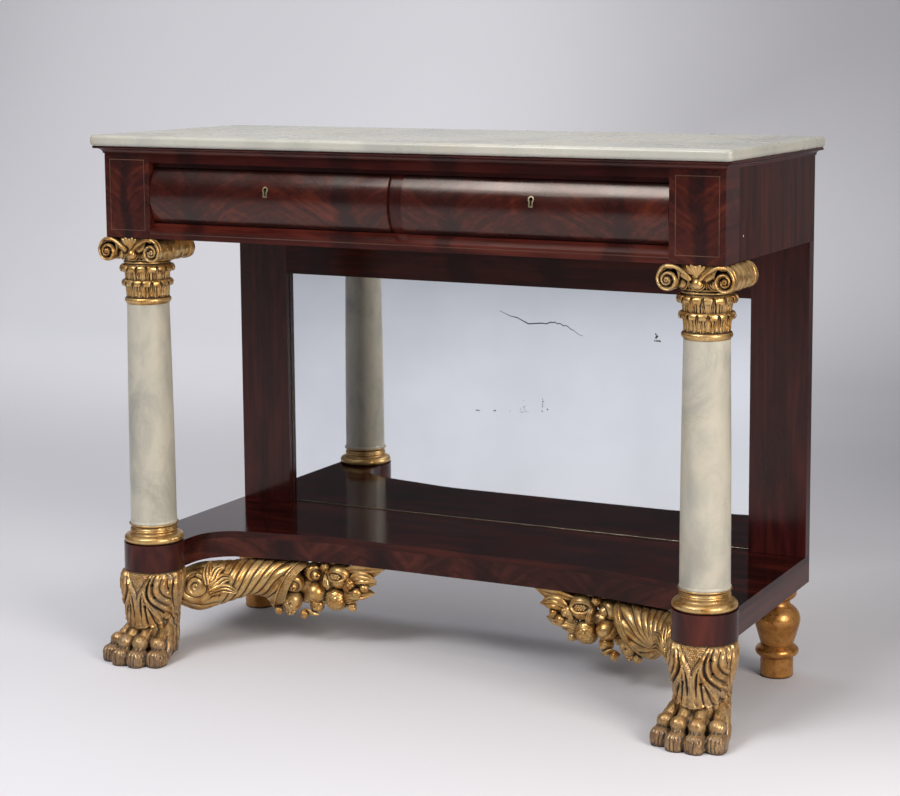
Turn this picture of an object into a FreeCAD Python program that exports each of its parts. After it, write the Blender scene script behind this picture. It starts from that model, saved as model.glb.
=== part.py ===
import FreeCAD, Part
import math
import os

# Pier table: marble top, two-drawer frieze, columns, concave shelf, mirror back, carved feet.
# Millimetres. +X to the right, +Y to the back, +Z up.
# Every piece is drawn with y = 0 on the frieze front and z = 0 on the floor.
# save() then moves it so that the origin is below the middle of the whole object.

# Overall
HEIGHT = 940.0
CASE_WIDTH = 1154.0
CASE_DEPTH = 438.0
CASE_HEIGHT = 147.0
FOOT_HEIGHT = 162.0
SHELF_THICKNESS = 48.0
PAW_REACH = 50.0

# Marble slab and the cornice frame under it
MARBLE_THICKNESS = 19.0
MARBLE_SIDE_OVERHANG = 17.0
MARBLE_FRONT_OVERHANG = 23.0
MARBLE_CORNER_RADIUS = 9.0
MARBLE_EDGE_RADIUS = 6.5
CORNICE_HEIGHT = 13.0
CORNICE_REACH = 15.0
CORNICE_INSET = 26.0
CORNICE_FILLET = 2.0
CORNICE_COVE_HEIGHT = 6.5
BEARER_WIDTH = 40.0
BEARER_SPACING = 500.0

# Case boards
BOARD = 22.0
CORNER_BLOCK_WIDTH = 93.0
RAIL_DEPTH = 60.0
TOP_RAIL_HEIGHT = 15.0
TOP_RAIL_SETBACK = 14.0
BOTTOM_RAIL_HEIGHT = 26.0
BOTTOM_RAIL_FACE = 14.0
BOTTOM_RAIL_BEVEL = 15.0
DIVIDER_WIDTH = 25.0
DIVIDER_SETBACK = 5.0
DUST_BOARD = 10.0
RUNNER_WIDTH = 60.0
GUIDE_WIDTH = 16.0
GUIDE_HEIGHT = 16.0
KICKER_WIDTH = 50.0
KICKER_CLEARANCE = 1.5
STOP_WIDTH = 34.0
STOP_HEIGHT = 7.0
STOP_LENGTH = 18.0
STOP_SPACING = 230.0

# Inlaid light lines
LINE_WIDTH = 1.4
LINE_DEPTH = 0.9
LINE_SIDE_MARGIN = 10.0
LINE_TOP_MARGIN = 10.0
LINE_BOTTOM_MARGIN = 13.0
RAIL_LINE_UP = 8.5

# Drawers
DRAWER_HEIGHT = 96.0
DRAWER_FRONT_DEPTH = 38.0
TORUS_SAGITTA = 15.0
DRAWER_SIDE_GAP = 0.8
DRAWER_RUN = 0.3
DRAWER_FRONT_LIFT = 1.0
DRAWER_TOP_GAP = 0.8
DRAWER_BACK_GAP = 16.0
DRAWER_SIDE_THICKNESS = 11.0
DRAWER_SIDE_DROP = 6.0
DRAWER_BACK_THICKNESS = 10.0
DRAWER_BOTTOM_THICKNESS = 7.0
DRAWER_BOTTOM_LIFT = 9.5
DRAWER_GROOVE = 5.0
DOVETAIL_LENGTH = 14.0
DOVETAIL_HEIGHT = 15.0
DOVETAIL_FLARE = 2.5
DOVETAIL_COUNT = 3

# Locks
LOCK_WIDTH = 60.0
LOCK_HEIGHT = 46.0
LOCK_DEPTH = 12.0
LOCK_WALL = 2.5
LOCK_CLEARANCE = 0.3
BOLT_TONGUE_WIDTH = 18.0
BOLT_PLATE_WIDTH = 44.0
BOLT_TRAVEL = 7.0
BOLT_WINDOW_RADIUS = 10.5
BOLT_WINDOW_NECK = 7.0
BOLT_MORTISE_MARGIN = 1.0
KEY_DROP = 31.5
KEYHOLE_RADIUS = 3.2
KEYHOLE_SLOT = 1.6
KEYHOLE_LENGTH = 10.5
KEY_PIN_RADIUS = 1.2
ESCUTCHEON_WALL = 2.3
ESCUTCHEON_DEPTH = 12.0

# Columns
COLUMN_INSET_X = 48.0
COLUMN_INSET_Y = 50.5
DRUM_RADIUS = 54.0
BASE_HEIGHT = 33.5
BASE_RADIUS = 53.0
BASE_NECK_RADIUS = 37.5
SHAFT_FOOT_RADIUS = 42.0
SHAFT_LOW_RADIUS = 40.8
SHAFT_TOP_RADIUS = 37.0
SHAFT_ENTASIS = 0.9
SHAFT_FILLET = 6.0
BELL_HEIGHT = 71.0
BELL_RADIUS = 38.0
BELL_RING_RADIUS = 42.0
LOWER_LEAF_RADIUS = 48.5
UPPER_LEAF_RADIUS = 52.0
VOLUTE_HEIGHT = 49.0
VOLUTE_RADIUS = 22.0
VOLUTE_OFFSET = 44.0
VOLUTE_HALF_DEPTH = 57.0
VOLUTE_DISC = 12.0
BOLSTER_RADIUS = 18.5
BOLSTER_WAIST = 16.0
ABACUS_HEIGHT = 20.0
ECHINUS_RADIUS = 47.0
ROD_RADIUS = 6.0
ROD_CLEARANCE = 0.3
ROD_BITE = 18.0

# Shelf
SHELF_BOARD = 12.0
SHELF_SETBACK = 200.0
SHELF_NECK = 97.0
SWEEP_RADIUS = 72.0
SWEEP_RISE = 30.0
SWEEP_ANGLE = 80.0
BEND_RADIUS = 400.0
SHELF_BLOCK_WIDTH = 65.0
SHELF_BLOCK_DEPTH = 56.0

# Mirror back
PILASTER_WIDTH = 105.0
MIRROR_RAIL_HEIGHT = 103.0
GLASS_SETBACK = 12.0
GLASS_THICKNESS = 4.0
GLASS_LAP = 7.0
BACKBOARD_THICKNESS = 5.5
SCREW_RADIUS = 1.8
SCREW_HEAD_RADIUS = 3.8
SCREW_HEAD_DEPTH = 2.0
SCREW_LENGTH = 13.0
SCREW_ROWS = 4
BACKBOARD_LAP = 20.0

# Feet and cornucopias
TOE_RADIUS = 15.5
TOE_FLAT = 1.5
TOE_SPACING = 32.0
TOE_OUTER_SHORTER = 11.0
KNUCKLE_RADIUS = 16.0
KNUCKLE_HEIGHT = 30.0
KNUCKLE_SETBACK = 32.0
REAR_FOOT_INSET_X = 43.5
REAR_FOOT_INSET_Y = 40.5
REAR_FOOT_RADIUS = 39.5
HORN_REACH = 373.0
DOWEL_RADIUS = 11.0
DOWEL_BITE = 28.0

# Levels
MARBLE_BOTTOM = HEIGHT - MARBLE_THICKNESS
CASE_TOP = MARBLE_BOTTOM - CORNICE_HEIGHT
CASE_BOTTOM = CASE_TOP - CASE_HEIGHT
SHELF_TOP = FOOT_HEIGHT + SHELF_THICKNESS
SHELF_BOARD_BOTTOM = SHELF_TOP - SHELF_BOARD
SHAFT_BOTTOM = SHELF_TOP + BASE_HEIGHT
VOLUTE_BOTTOM = CASE_BOTTOM - VOLUTE_HEIGHT
SHAFT_TOP = VOLUTE_BOTTOM - BELL_HEIGHT
RAIL_TOP = CASE_BOTTOM + BOTTOM_RAIL_HEIGHT
DRAWER_BOTTOM = RAIL_TOP + DRAWER_FRONT_LIFT
DRAWER_TOP = DRAWER_BOTTOM + DRAWER_HEIGHT
TOP_RAIL_BOTTOM = DRAWER_TOP + DRAWER_TOP_GAP
TOP_RAIL_FACE_BOTTOM = CASE_TOP - TOP_RAIL_HEIGHT

# Plan places
HALF_WIDTH = CASE_WIDTH / 2
END_INNER = HALF_WIDTH - BOARD
OPENING_HALF = HALF_WIDTH - CORNER_BLOCK_WIDTH
BACK_INNER = CASE_DEPTH - BOARD
COLUMN_X = HALF_WIDTH - COLUMN_INSET_X
COLUMN_Y = COLUMN_INSET_Y
REAR_FOOT_X = HALF_WIDTH - REAR_FOOT_INSET_X
REAR_FOOT_Y = CASE_DEPTH - REAR_FOOT_INSET_Y
PILASTER_INNER = HALF_WIDTH - PILASTER_WIDTH
GLASS_FRONT = BACK_INNER + GLASS_SETBACK
Y_MIDDLE = (CASE_DEPTH - PAW_REACH) / 2

# Drawer places
DRAWER_LENGTH = BACK_INNER - DRAWER_BACK_GAP
DRAWER_X = (OPENING_HALF + DIVIDER_WIDTH / 2) / 2
DRAWER_HALF = (OPENING_HALF - DIVIDER_WIDTH / 2) / 2 - DRAWER_SIDE_GAP
LOCK_FRONT = DRAWER_FRONT_DEPTH - LOCK_DEPTH
KEY_Z = DRAWER_TOP - KEY_DROP

ALL_ROUND = 360.0
EPS = 0.01
vec = FreeCAD.Vector


# ---------------------------------------------------------------- helpers

def box(x0, x1, y0, y1, z0, z1):
    return Part.makeBox(x1 - x0, y1 - y0, z1 - z0, vec(x0, y0, z0))


def closed_wire(points, place):
    """Wire through 2-D points; a pair of points is the middle and the end of an arc."""
    edges = []
    here = points[0]
    for item in points[1:] + points[:1]:
        if isinstance(item[0], tuple):
            middle, there = item
            edges.append(Part.Arc(place(*here), place(*middle), place(*there)).toShape())
        else:
            there = item
            edges.append(Part.LineSegment(place(*here), place(*there)).toShape())
        here = there
    return Part.Wire(edges)


def prism_x(points, x0, x1):
    """Extrude a (y, z) outline along X."""
    face = Part.Face(closed_wire(points, lambda y, z: vec(x0, y, z)))
    return face.extrude(vec(x1 - x0, 0, 0))


def prism_y(points, y0, y1):
    """Extrude an (x, z) outline along Y."""
    face = Part.Face(closed_wire(points, lambda x, z: vec(x, y0, z)))
    return face.extrude(vec(0, y1 - y0, 0))


def prism_z(points, z0, z1):
    """Extrude an (x, y) outline along Z."""
    face = Part.Face(closed_wire(points, lambda x, y: vec(x, y, z0)))
    return face.extrude(vec(0, 0, z1 - z0))


def turned(points, x, y):
    """Turn an (r, z) outline about the vertical axis at (x, y)."""
    face = Part.Face(closed_wire(points, lambda r, z: vec(x + r, y, z)))
    return face.revolve(vec(x, y, 0), vec(0, 0, 1), ALL_ROUND)


def turned_y(points, x, z):
    """Turn an (r, y) outline about the axis along Y at (x, z)."""
    face = Part.Face(closed_wire(points, lambda r, y: vec(x + r, y, z)))
    return face.revolve(vec(x, 0, z), vec(0, 1, 0), ALL_ROUND)


def post(x, y, radius, z0, z1):
    return Part.makeCylinder(radius, z1 - z0, vec(x, y, z0))


def ring_curve(centre, across, up, half_width, half_height, count=12):
    """Smooth closed curve: an ellipse about centre in the plane of two unit vectors."""
    points = []
    for i in range(count):
        angle = 2 * math.pi * i / count
        points.append(centre + across * (half_width * math.cos(angle)) + up * (half_height * math.sin(angle)))
    curve = Part.BSplineCurve()
    curve.interpolate(Points=points, PeriodicFlag=True)
    return Part.Wire(curve.toShape())


def fused(shapes):
    return shapes[0].multiFuse(shapes[1:]).removeSplitter()


def mirrored(shape):
    return shape.mirror(vec(0, 0, 0), vec(1, 0, 0))


def save(name, *shapes):
    """Write one node; several shapes stay separate solids in it."""
    solids = []
    for shape in shapes:
        solids += shape.Solids
    for solid in solids:
        if not solid.isValid() or solid.Volume < EPS:
            raise ValueError(name + " holds a bad solid")
    group = solids[0] if len(solids) == 1 else Part.makeCompound(solids)
    moved = group.copy()
    moved.translate(vec(0, -Y_MIDDLE, 0))
    moved.exportStep("parts/" + name + ".step")


def save_pair(name, shape):
    """The shape is the right-hand one."""
    save(name + "_right", shape)
    save(name + "_left", mirrored(shape))


# ---------------------------------------------------------------- marble and cornice

def marble_top():
    """Slab, flush at the back, with rounded front corners and softened edges."""
    half = HALF_WIDTH + MARBLE_SIDE_OVERHANG
    front = -MARBLE_FRONT_OVERHANG
    r = MARBLE_CORNER_RADIUS
    diagonal = r * (1 - math.sqrt(0.5))
    slab = prism_z([
        (half, CASE_DEPTH),
        (-half, CASE_DEPTH),
        (-half, front + r),
        ((-half + diagonal, front + diagonal), (-half + r, front)),
        (half - r, front),
        ((half - diagonal, front + diagonal), (half, front + r)),
    ], MARBLE_BOTTOM, HEIGHT)
    rim = []
    for edge in slab.Edges:
        middle = edge.CenterOfMass
        level = edge.BoundBox.ZLength < EPS
        if level and middle.y < CASE_DEPTH - EPS:
            rim.append(edge)
    return slab.makeFillet(MARBLE_EDGE_RADIUS, rim)


def cornice_outline():
    """Moulding section as (distance out from the case, z): fillet, cove, bead, square top."""
    low = CASE_TOP
    cove_foot = low + CORNICE_FILLET
    cove_top = cove_foot + CORNICE_COVE_HEIGHT
    cove_out = CORNICE_REACH - CORNICE_FILLET
    bend = math.sqrt(0.5)
    cove_middle = (
        CORNICE_FILLET + (cove_out - CORNICE_FILLET) * (1 - bend),
        cove_foot + (cove_top - cove_foot) * bend,
    )
    bead_middle = (CORNICE_REACH, (cove_top + MARBLE_BOTTOM) / 2)
    return [
        (-CORNICE_INSET, low),
        (CORNICE_FILLET, low),
        (CORNICE_FILLET, cove_foot),
        (cove_middle, (cove_out, cove_top)),
        (bead_middle, (cove_out, MARBLE_BOTTOM)),
        (-CORNICE_INSET, MARBLE_BOTTOM),
    ]


def flip_out(points, turn):
    """Map each (out, z) point, arcs too, by a turn(out, z) function."""
    result = []
    for item in points:
        if isinstance(item[0], tuple):
            result.append((turn(*item[0]), turn(*item[1])))
        else:
            result.append(turn(*item))
    return result


def mitre_wedge(z0, z1):
    """Everything in front of the two 45 degree mitre planes at the front corners."""
    far = HALF_WIDTH + 4 * CORNICE_REACH
    reach = far - HALF_WIDTH
    deep = CORNICE_INSET
    return prism_z([
        (-far, -reach),
        (far, -reach),
        (HALF_WIDTH - deep, deep),
        (-HALF_WIDTH + deep, deep),
    ], z0, z1)


def cornice_front():
    far = HALF_WIDTH + 2 * CORNICE_REACH
    section = flip_out(cornice_outline(), lambda out, z: (-out, z))
    strip = prism_x(section, -far, far)
    return strip.common(mitre_wedge(CASE_TOP, MARBLE_BOTTOM))


def cornice_side():
    section = flip_out(cornice_outline(), lambda out, z: (HALF_WIDTH + out, z))
    strip = prism_y(section, -2 * CORNICE_REACH, CASE_DEPTH)
    return strip.cut(mitre_wedge(CASE_TOP, MARBLE_BOTTOM))


def marble_bearers():
    """Back strip and two cross bearers, level with the cornice."""
    side = HALF_WIDTH - CORNICE_INSET
    strip = box(-side, side, BACK_INNER, CASE_DEPTH, CASE_TOP, MARBLE_BOTTOM)
    pieces = [strip]
    for middle in (-BEARER_SPACING / 2, BEARER_SPACING / 2):
        x0 = middle - BEARER_WIDTH / 2
        x1 = middle + BEARER_WIDTH / 2
        pieces.append(box(x0, x1, CORNICE_INSET, BACK_INNER, CASE_TOP, MARBLE_BOTTOM))
    return pieces


# ---------------------------------------------------------------- case

def line_frame():
    """Rectangular inlaid line on the front of the right corner block."""
    x0 = OPENING_HALF + LINE_SIDE_MARGIN
    x1 = HALF_WIDTH - LINE_SIDE_MARGIN
    z0 = CASE_BOTTOM + LINE_BOTTOM_MARGIN
    z1 = CASE_TOP - LINE_TOP_MARGIN
    w = LINE_WIDTH
    outer = box(x0, x1, 0, LINE_DEPTH, z0, z1)
    inner = box(x0 + w, x1 - w, 0, LINE_DEPTH, z0 + w, z1 - w)
    return outer.cut(inner)


def rail_line():
    z0 = CASE_BOTTOM + RAIL_LINE_UP
    return box(-OPENING_HALF, OPENING_HALF, 0, LINE_DEPTH, z0, z0 + LINE_WIDTH)


def corner_block():
    block = box(OPENING_HALF, HALF_WIDTH, 0, RAIL_DEPTH, CASE_BOTTOM, CASE_TOP)
    return block.cut(line_frame())


def case_end():
    return box(END_INNER, HALF_WIDTH, RAIL_DEPTH, CASE_DEPTH, CASE_BOTTOM, CASE_TOP)


def case_back():
    return box(-END_INNER, END_INNER, BACK_INNER, CASE_DEPTH, CASE_BOTTOM, CASE_TOP)


def dust_board():
    return box(-END_INNER, END_INNER, RAIL_DEPTH, BACK_INNER, CASE_BOTTOM, CASE_BOTTOM + DUST_BOARD)


def bottom_rail():
    """Rail under the drawers; its top edge is canted down towards the front."""
    rail = prism_x([
        (0, CASE_BOTTOM),
        (0, CASE_BOTTOM + BOTTOM_RAIL_FACE),
        (BOTTOM_RAIL_BEVEL, RAIL_TOP),
        (RAIL_DEPTH, RAIL_TOP),
        (RAIL_DEPTH, CASE_BOTTOM),
    ], -OPENING_HALF, OPENING_HALF)
    return rail.cut(rail_line())


def top_rail():
    """Rail over the drawers, stepped back below its face, mortised for the lock bolts."""
    rail = prism_x([
        (0, TOP_RAIL_FACE_BOTTOM),
        (0, CASE_TOP),
        (RAIL_DEPTH, CASE_TOP),
        (RAIL_DEPTH, TOP_RAIL_BOTTOM),
        (TOP_RAIL_SETBACK, TOP_RAIL_BOTTOM),
        (TOP_RAIL_SETBACK, TOP_RAIL_FACE_BOTTOM),
    ], -OPENING_HALF, OPENING_HALF)
    half = BOLT_TONGUE_WIDTH / 2 + BOLT_MORTISE_MARGIN
    y0 = LOCK_FRONT + LOCK_WALL - BOLT_MORTISE_MARGIN
    y1 = DRAWER_FRONT_DEPTH - LOCK_WALL + BOLT_MORTISE_MARGIN
    deep = DRAWER_TOP + BOLT_TRAVEL + BOLT_MORTISE_MARGIN
    for x in (-DRAWER_X, DRAWER_X):
        rail = rail.cut(box(x - half, x + half, y0, y1, TOP_RAIL_BOTTOM, deep))
    return rail


def drawer_divider():
    """Upright between the drawers with the same convex face, a little set back."""
    return prism_x([
        (DIVIDER_SETBACK + TORUS_SAGITTA, RAIL_TOP),
        ((DIVIDER_SETBACK, (RAIL_TOP + TOP_RAIL_BOTTOM) / 2), (DIVIDER_SETBACK + TORUS_SAGITTA, TOP_RAIL_BOTTOM)),
        (RAIL_DEPTH, TOP_RAIL_BOTTOM),
        (RAIL_DEPTH, RAIL_TOP),
    ], -DIVIDER_WIDTH / 2, DIVIDER_WIDTH / 2)


def drawer_runners():
    """Boards that carry the drawer sides, with the guide strips that stand on them."""
    low = CASE_BOTTOM + DUST_BOARD
    guide_top = RAIL_TOP + GUIDE_HEIGHT
    outer0 = OPENING_HALF + GUIDE_WIDTH - RUNNER_WIDTH
    outer1 = OPENING_HALF + GUIDE_WIDTH
    middle = DIVIDER_WIDTH / 2
    runner = box(outer0, outer1, RAIL_DEPTH, BACK_INNER, low, RAIL_TOP)
    guide = box(OPENING_HALF, outer1, RAIL_DEPTH, BACK_INNER, RAIL_TOP, guide_top)
    centre_runner = box(-RUNNER_WIDTH / 2, RUNNER_WIDTH / 2, RAIL_DEPTH, BACK_INNER, low, RAIL_TOP)
    centre_guide = box(-middle, middle, RAIL_DEPTH, BACK_INNER, RAIL_TOP, guide_top)
    return [runner, guide, mirrored(runner), mirrored(guide), centre_runner, centre_guide]


def drawer_kickers():
    """Strips over the drawer sides that keep an open drawer from tipping."""
    low = DRAWER_TOP - DRAWER_SIDE_DROP + KICKER_CLEARANCE
    outer = box(OPENING_HALF - KICKER_WIDTH, OPENING_HALF, RAIL_DEPTH, BACK_INNER, low, CASE_TOP)
    centre = box(-KICKER_WIDTH / 2, KICKER_WIDTH / 2, RAIL_DEPTH, BACK_INNER, low, CASE_TOP)
    return [outer, mirrored(outer), centre]


def drawer_stops():
    """Small blocks on the bottom rail that the drawer fronts meet when shut."""
    stops = []
    y0 = DRAWER_FRONT_DEPTH + DRAWER_RUN
    for drawer in (-DRAWER_X, DRAWER_X):
        for shift in (-STOP_SPACING / 2, STOP_SPACING / 2):
            x0 = drawer + shift - STOP_WIDTH / 2
            stops.append(box(x0, x0 + STOP_WIDTH, y0, y0 + STOP_LENGTH, RAIL_TOP, RAIL_TOP + STOP_HEIGHT))
    return stops


# ---------------------------------------------------------------- drawers

def keyhole(margin, y0, y1):
    """Keyhole prism: a round hole over a slot, grown by margin."""
    r = KEYHOLE_RADIUS + margin
    w = KEYHOLE_SLOT + margin
    foot = KEY_Z - KEYHOLE_LENGTH - margin
    barrel = Part.makeCylinder(r, y1 - y0, vec(DRAWER_X, y0, KEY_Z), vec(0, 1, 0))
    slot = box(DRAWER_X - w, DRAWER_X + w, y0, y1, foot, KEY_Z)
    return fused([barrel, slot])


def torus_blank():
    """Drawer front with its convex face, before any cutting."""
    middle = (DRAWER_BOTTOM + DRAWER_TOP) / 2
    return prism_x([
        (TORUS_SAGITTA, DRAWER_BOTTOM),
        ((0, middle), (TORUS_SAGITTA, DRAWER_TOP)),
        (DRAWER_FRONT_DEPTH, DRAWER_TOP),
        (DRAWER_FRONT_DEPTH, DRAWER_BOTTOM),
    ], DRAWER_X - DRAWER_HALF, DRAWER_X + DRAWER_HALF)


def drawer_side(sign):
    """Side board with dovetails that enter the back of the drawer front."""
    outer = DRAWER_X + sign * DRAWER_HALF
    inner = outer - sign * DRAWER_SIDE_THICKNESS
    x0 = min(outer, inner)
    x1 = max(outer, inner)
    low = RAIL_TOP + DRAWER_RUN
    high = DRAWER_TOP - DRAWER_SIDE_DROP
    board = box(x0, x1, DRAWER_FRONT_DEPTH, DRAWER_LENGTH, low, high)
    bottom = drawer_bottom_z()
    groove = box(x0, x1, DRAWER_FRONT_DEPTH, DRAWER_LENGTH, bottom, bottom + DRAWER_BOTTOM_THICKNESS)
    keep = DRAWER_SIDE_THICKNESS - DRAWER_GROOVE
    spare = box(outer - keep if sign > 0 else outer, outer if sign > 0 else outer + keep,
                DRAWER_FRONT_DEPTH, DRAWER_LENGTH, low, high)
    board = board.cut(groove.cut(spare))
    return fused([board] + dovetails(x0, x1, low, high))


def dovetails(x0, x1, low, high):
    """Flared tails in the (y, z) plane, evenly spaced up the board end."""
    first = bottom_groove_top() + DOVETAIL_FLARE
    pitch = (high - first) / DOVETAIL_COUNT
    root = DRAWER_FRONT_DEPTH
    tip = root - DOVETAIL_LENGTH
    tails = []
    for i in range(DOVETAIL_COUNT):
        middle = first + pitch * (i + 0.5)
        half = min(DOVETAIL_HEIGHT, pitch * 0.7) / 2
        tails.append(prism_x([
            (root, middle - half + DOVETAIL_FLARE),
            (root, middle + half - DOVETAIL_FLARE),
            (tip, middle + half),
            (tip, middle - half),
        ], x0, x1))
    return tails


def drawer_bottom_z():
    return RAIL_TOP + DRAWER_BOTTOM_LIFT


def bottom_groove_top():
    return drawer_bottom_z() + DRAWER_BOTTOM_THICKNESS


def drawer_bottom():
    half = DRAWER_HALF - DRAWER_SIDE_THICKNESS + DRAWER_GROOVE
    z0 = drawer_bottom_z()
    return box(DRAWER_X - half, DRAWER_X + half, DRAWER_FRONT_DEPTH - DRAWER_GROOVE, DRAWER_LENGTH,
               z0, z0 + DRAWER_BOTTOM_THICKNESS)


def drawer_back():
    half = DRAWER_HALF - DRAWER_SIDE_THICKNESS
    return box(DRAWER_X - half, DRAWER_X + half, DRAWER_LENGTH - DRAWER_BACK_THICKNESS, DRAWER_LENGTH,
               bottom_groove_top(), DRAWER_TOP - DRAWER_SIDE_DROP)


def drawer_front():
    front = torus_blank()
    front = front.cut(drawer_side(-1))
    front = front.cut(drawer_side(1))
    front = front.cut(drawer_bottom())
    front = front.cut(lock_box())
    front = front.cut(keyhole(0, -EPS, LOCK_FRONT))
    return front.cut(keyhole(ESCUTCHEON_WALL, -EPS, ESCUTCHEON_DEPTH))


def escutcheon():
    """Brass keyhole liner, flush with the convex face."""
    liner = torus_blank().common(keyhole(ESCUTCHEON_WALL, -EPS, ESCUTCHEON_DEPTH))
    return liner.cut(keyhole(0, -EPS, ESCUTCHEON_DEPTH + EPS))


def lock_box():
    return box(DRAWER_X - LOCK_WIDTH / 2, DRAWER_X + LOCK_WIDTH / 2, LOCK_FRONT, DRAWER_FRONT_DEPTH,
               DRAWER_TOP - LOCK_HEIGHT, DRAWER_TOP)


def lock_cavity():
    half = LOCK_WIDTH / 2 - LOCK_WALL
    return box(DRAWER_X - half, DRAWER_X + half, LOCK_FRONT + LOCK_WALL, DRAWER_FRONT_DEPTH - LOCK_WALL,
               DRAWER_TOP - LOCK_HEIGHT + LOCK_WALL, DRAWER_TOP - LOCK_WALL)


def lock_case():
    """Hollow lock body with a slotted top edge, a keyhole and its key pin."""
    slot_half = BOLT_TONGUE_WIDTH / 2 + LOCK_CLEARANCE
    slot = box(DRAWER_X - slot_half, DRAWER_X + slot_half, LOCK_FRONT + LOCK_WALL,
               DRAWER_FRONT_DEPTH - LOCK_WALL, DRAWER_TOP - LOCK_WALL, DRAWER_TOP)
    case = lock_box().cut(lock_cavity()).cut(slot)
    case = case.cut(keyhole(0, LOCK_FRONT - EPS, LOCK_FRONT + LOCK_WALL))
    pin = Part.makeCylinder(KEY_PIN_RADIUS, LOCK_DEPTH - LOCK_WALL / 2, vec(DRAWER_X, LOCK_FRONT, KEY_Z), vec(0, 1, 0))
    return fused([case, pin])


def lock_bolt():
    """Plate with a window for the key, and the tongue that rises into the top rail."""
    y0 = LOCK_FRONT + LOCK_WALL + LOCK_CLEARANCE
    y1 = DRAWER_FRONT_DEPTH - LOCK_WALL - LOCK_CLEARANCE
    floor = DRAWER_TOP - LOCK_HEIGHT + LOCK_WALL + LOCK_CLEARANCE
    shoulder = DRAWER_TOP - LOCK_WALL - LOCK_CLEARANCE - BOLT_TRAVEL
    half = BOLT_PLATE_WIDTH / 2
    tongue = BOLT_TONGUE_WIDTH / 2
    plate = box(DRAWER_X - half, DRAWER_X + half, y0, y1, floor, shoulder)
    nose = box(DRAWER_X - tongue, DRAWER_X + tongue, y0, y1, shoulder - LOCK_WALL, DRAWER_TOP - LOCK_CLEARANCE)
    window = Part.makeCylinder(BOLT_WINDOW_RADIUS, y1 - y0, vec(DRAWER_X, y0, KEY_Z), vec(0, 1, 0))
    neck = box(DRAWER_X - BOLT_WINDOW_NECK, DRAWER_X + BOLT_WINDOW_NECK, y0, y1, floor, KEY_Z)
    return fused([plate, nose]).cut(window).cut(neck)


def save_drawer(suffix, turn):
    """turn places the right-hand drawer's pieces on this side."""
    save("drawer_front_" + suffix, turn(drawer_front()))
    save("drawer_box_" + suffix, turn(drawer_side(-1)), turn(drawer_side(1)), turn(drawer_back()))
    save("drawer_bottom_" + suffix, turn(drawer_bottom()))
    save("lock_case_" + suffix, turn(lock_case()))
    save("lock_bolt_" + suffix, turn(lock_bolt()))
    save("escutcheon_" + suffix, turn(escutcheon()))


# ---------------------------------------------------------------- columns

def rod(clearance=0.0):
    """Iron rod through the column; with a clearance it is the bore for it."""
    return post(COLUMN_X, COLUMN_Y, ROD_RADIUS + clearance, SHELF_TOP - ROD_BITE - clearance,
                VOLUTE_BOTTOM + ROD_BITE + clearance)


def drum():
    """Round plinth at the shelf corner."""
    blank = post(COLUMN_X, COLUMN_Y, DRUM_RADIUS, FOOT_HEIGHT, SHELF_TOP)
    return blank.cut(rod(ROD_CLEARANCE)).cut(front_dowel())


def column_base():
    """Attic base: torus, cove, bead, hollow neck and top ring."""
    z = SHELF_TOP
    h = BASE_HEIGHT
    torus = h * 0.42
    cove = h * 0.58
    bead = h * 0.72
    ring = h * 0.82
    n = BASE_NECK_RADIUS
    return turned([
        (0, z),
        (BASE_RADIUS - torus / 2, z),
        ((BASE_RADIUS, z + torus / 2), (BASE_RADIUS - torus / 2, z + torus)),
        ((n + 4, z + torus + 1), (n + 2.5, z + cove)),
        ((n + 4.5, (2 * z + cove + bead) / 2), (n + 2.5, z + bead)),
        (n - 1, z + bead),
        (n - 1, z + ring),
        ((n + 1.5, (2 * z + ring + h) / 2), (n - 1, z + h)),
        (0, z + h),
    ], COLUMN_X, COLUMN_Y).cut(rod(ROD_CLEARANCE))


def column_shaft():
    """Marble shaft with a foot fillet and slight entasis."""
    foot = SHAFT_BOTTOM + SHAFT_FILLET
    middle_radius = (SHAFT_LOW_RADIUS + SHAFT_TOP_RADIUS) / 2 + SHAFT_ENTASIS
    return turned([
        (0, SHAFT_BOTTOM),
        (SHAFT_FOOT_RADIUS, SHAFT_BOTTOM),
        (SHAFT_FOOT_RADIUS, SHAFT_BOTTOM + SHAFT_FILLET / 2),
        (SHAFT_LOW_RADIUS, foot),
        ((middle_radius, (foot + SHAFT_TOP) / 2), (SHAFT_TOP_RADIUS, SHAFT_TOP)),
        (0, SHAFT_TOP),
    ], COLUMN_X, COLUMN_Y).cut(rod(ROD_CLEARANCE))


def capital_bell():
    """Neck ring and two tiers of out-curled leaves, as one turned form."""
    z = SHAFT_TOP
    h = BELL_HEIGHT
    b = BELL_RADIUS
    ring = h * 0.15
    return turned([
        (0, z),
        (b, z),
        ((BELL_RING_RADIUS, z + ring / 2), (b, z + ring)),
        (b - 1, z + h * 0.27),
        ((b + 2, z + h * 0.34), (LOWER_LEAF_RADIUS - 3, z + h * 0.38)),
        ((LOWER_LEAF_RADIUS, z + h * 0.41), (LOWER_LEAF_RADIUS - 3, z + h * 0.46)),
        (b, z + h * 0.55),
        (b, z + h * 0.66),
        ((b + 3, z + h * 0.75), (UPPER_LEAF_RADIUS - 3, z + h * 0.78)),
        ((UPPER_LEAF_RADIUS, z + h * 0.82), (UPPER_LEAF_RADIUS - 3, z + h * 0.88)),
        (b + 3, z + h),
        (0, z + h),
    ], COLUMN_X, COLUMN_Y).cut(rod(ROD_CLEARANCE))


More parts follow.
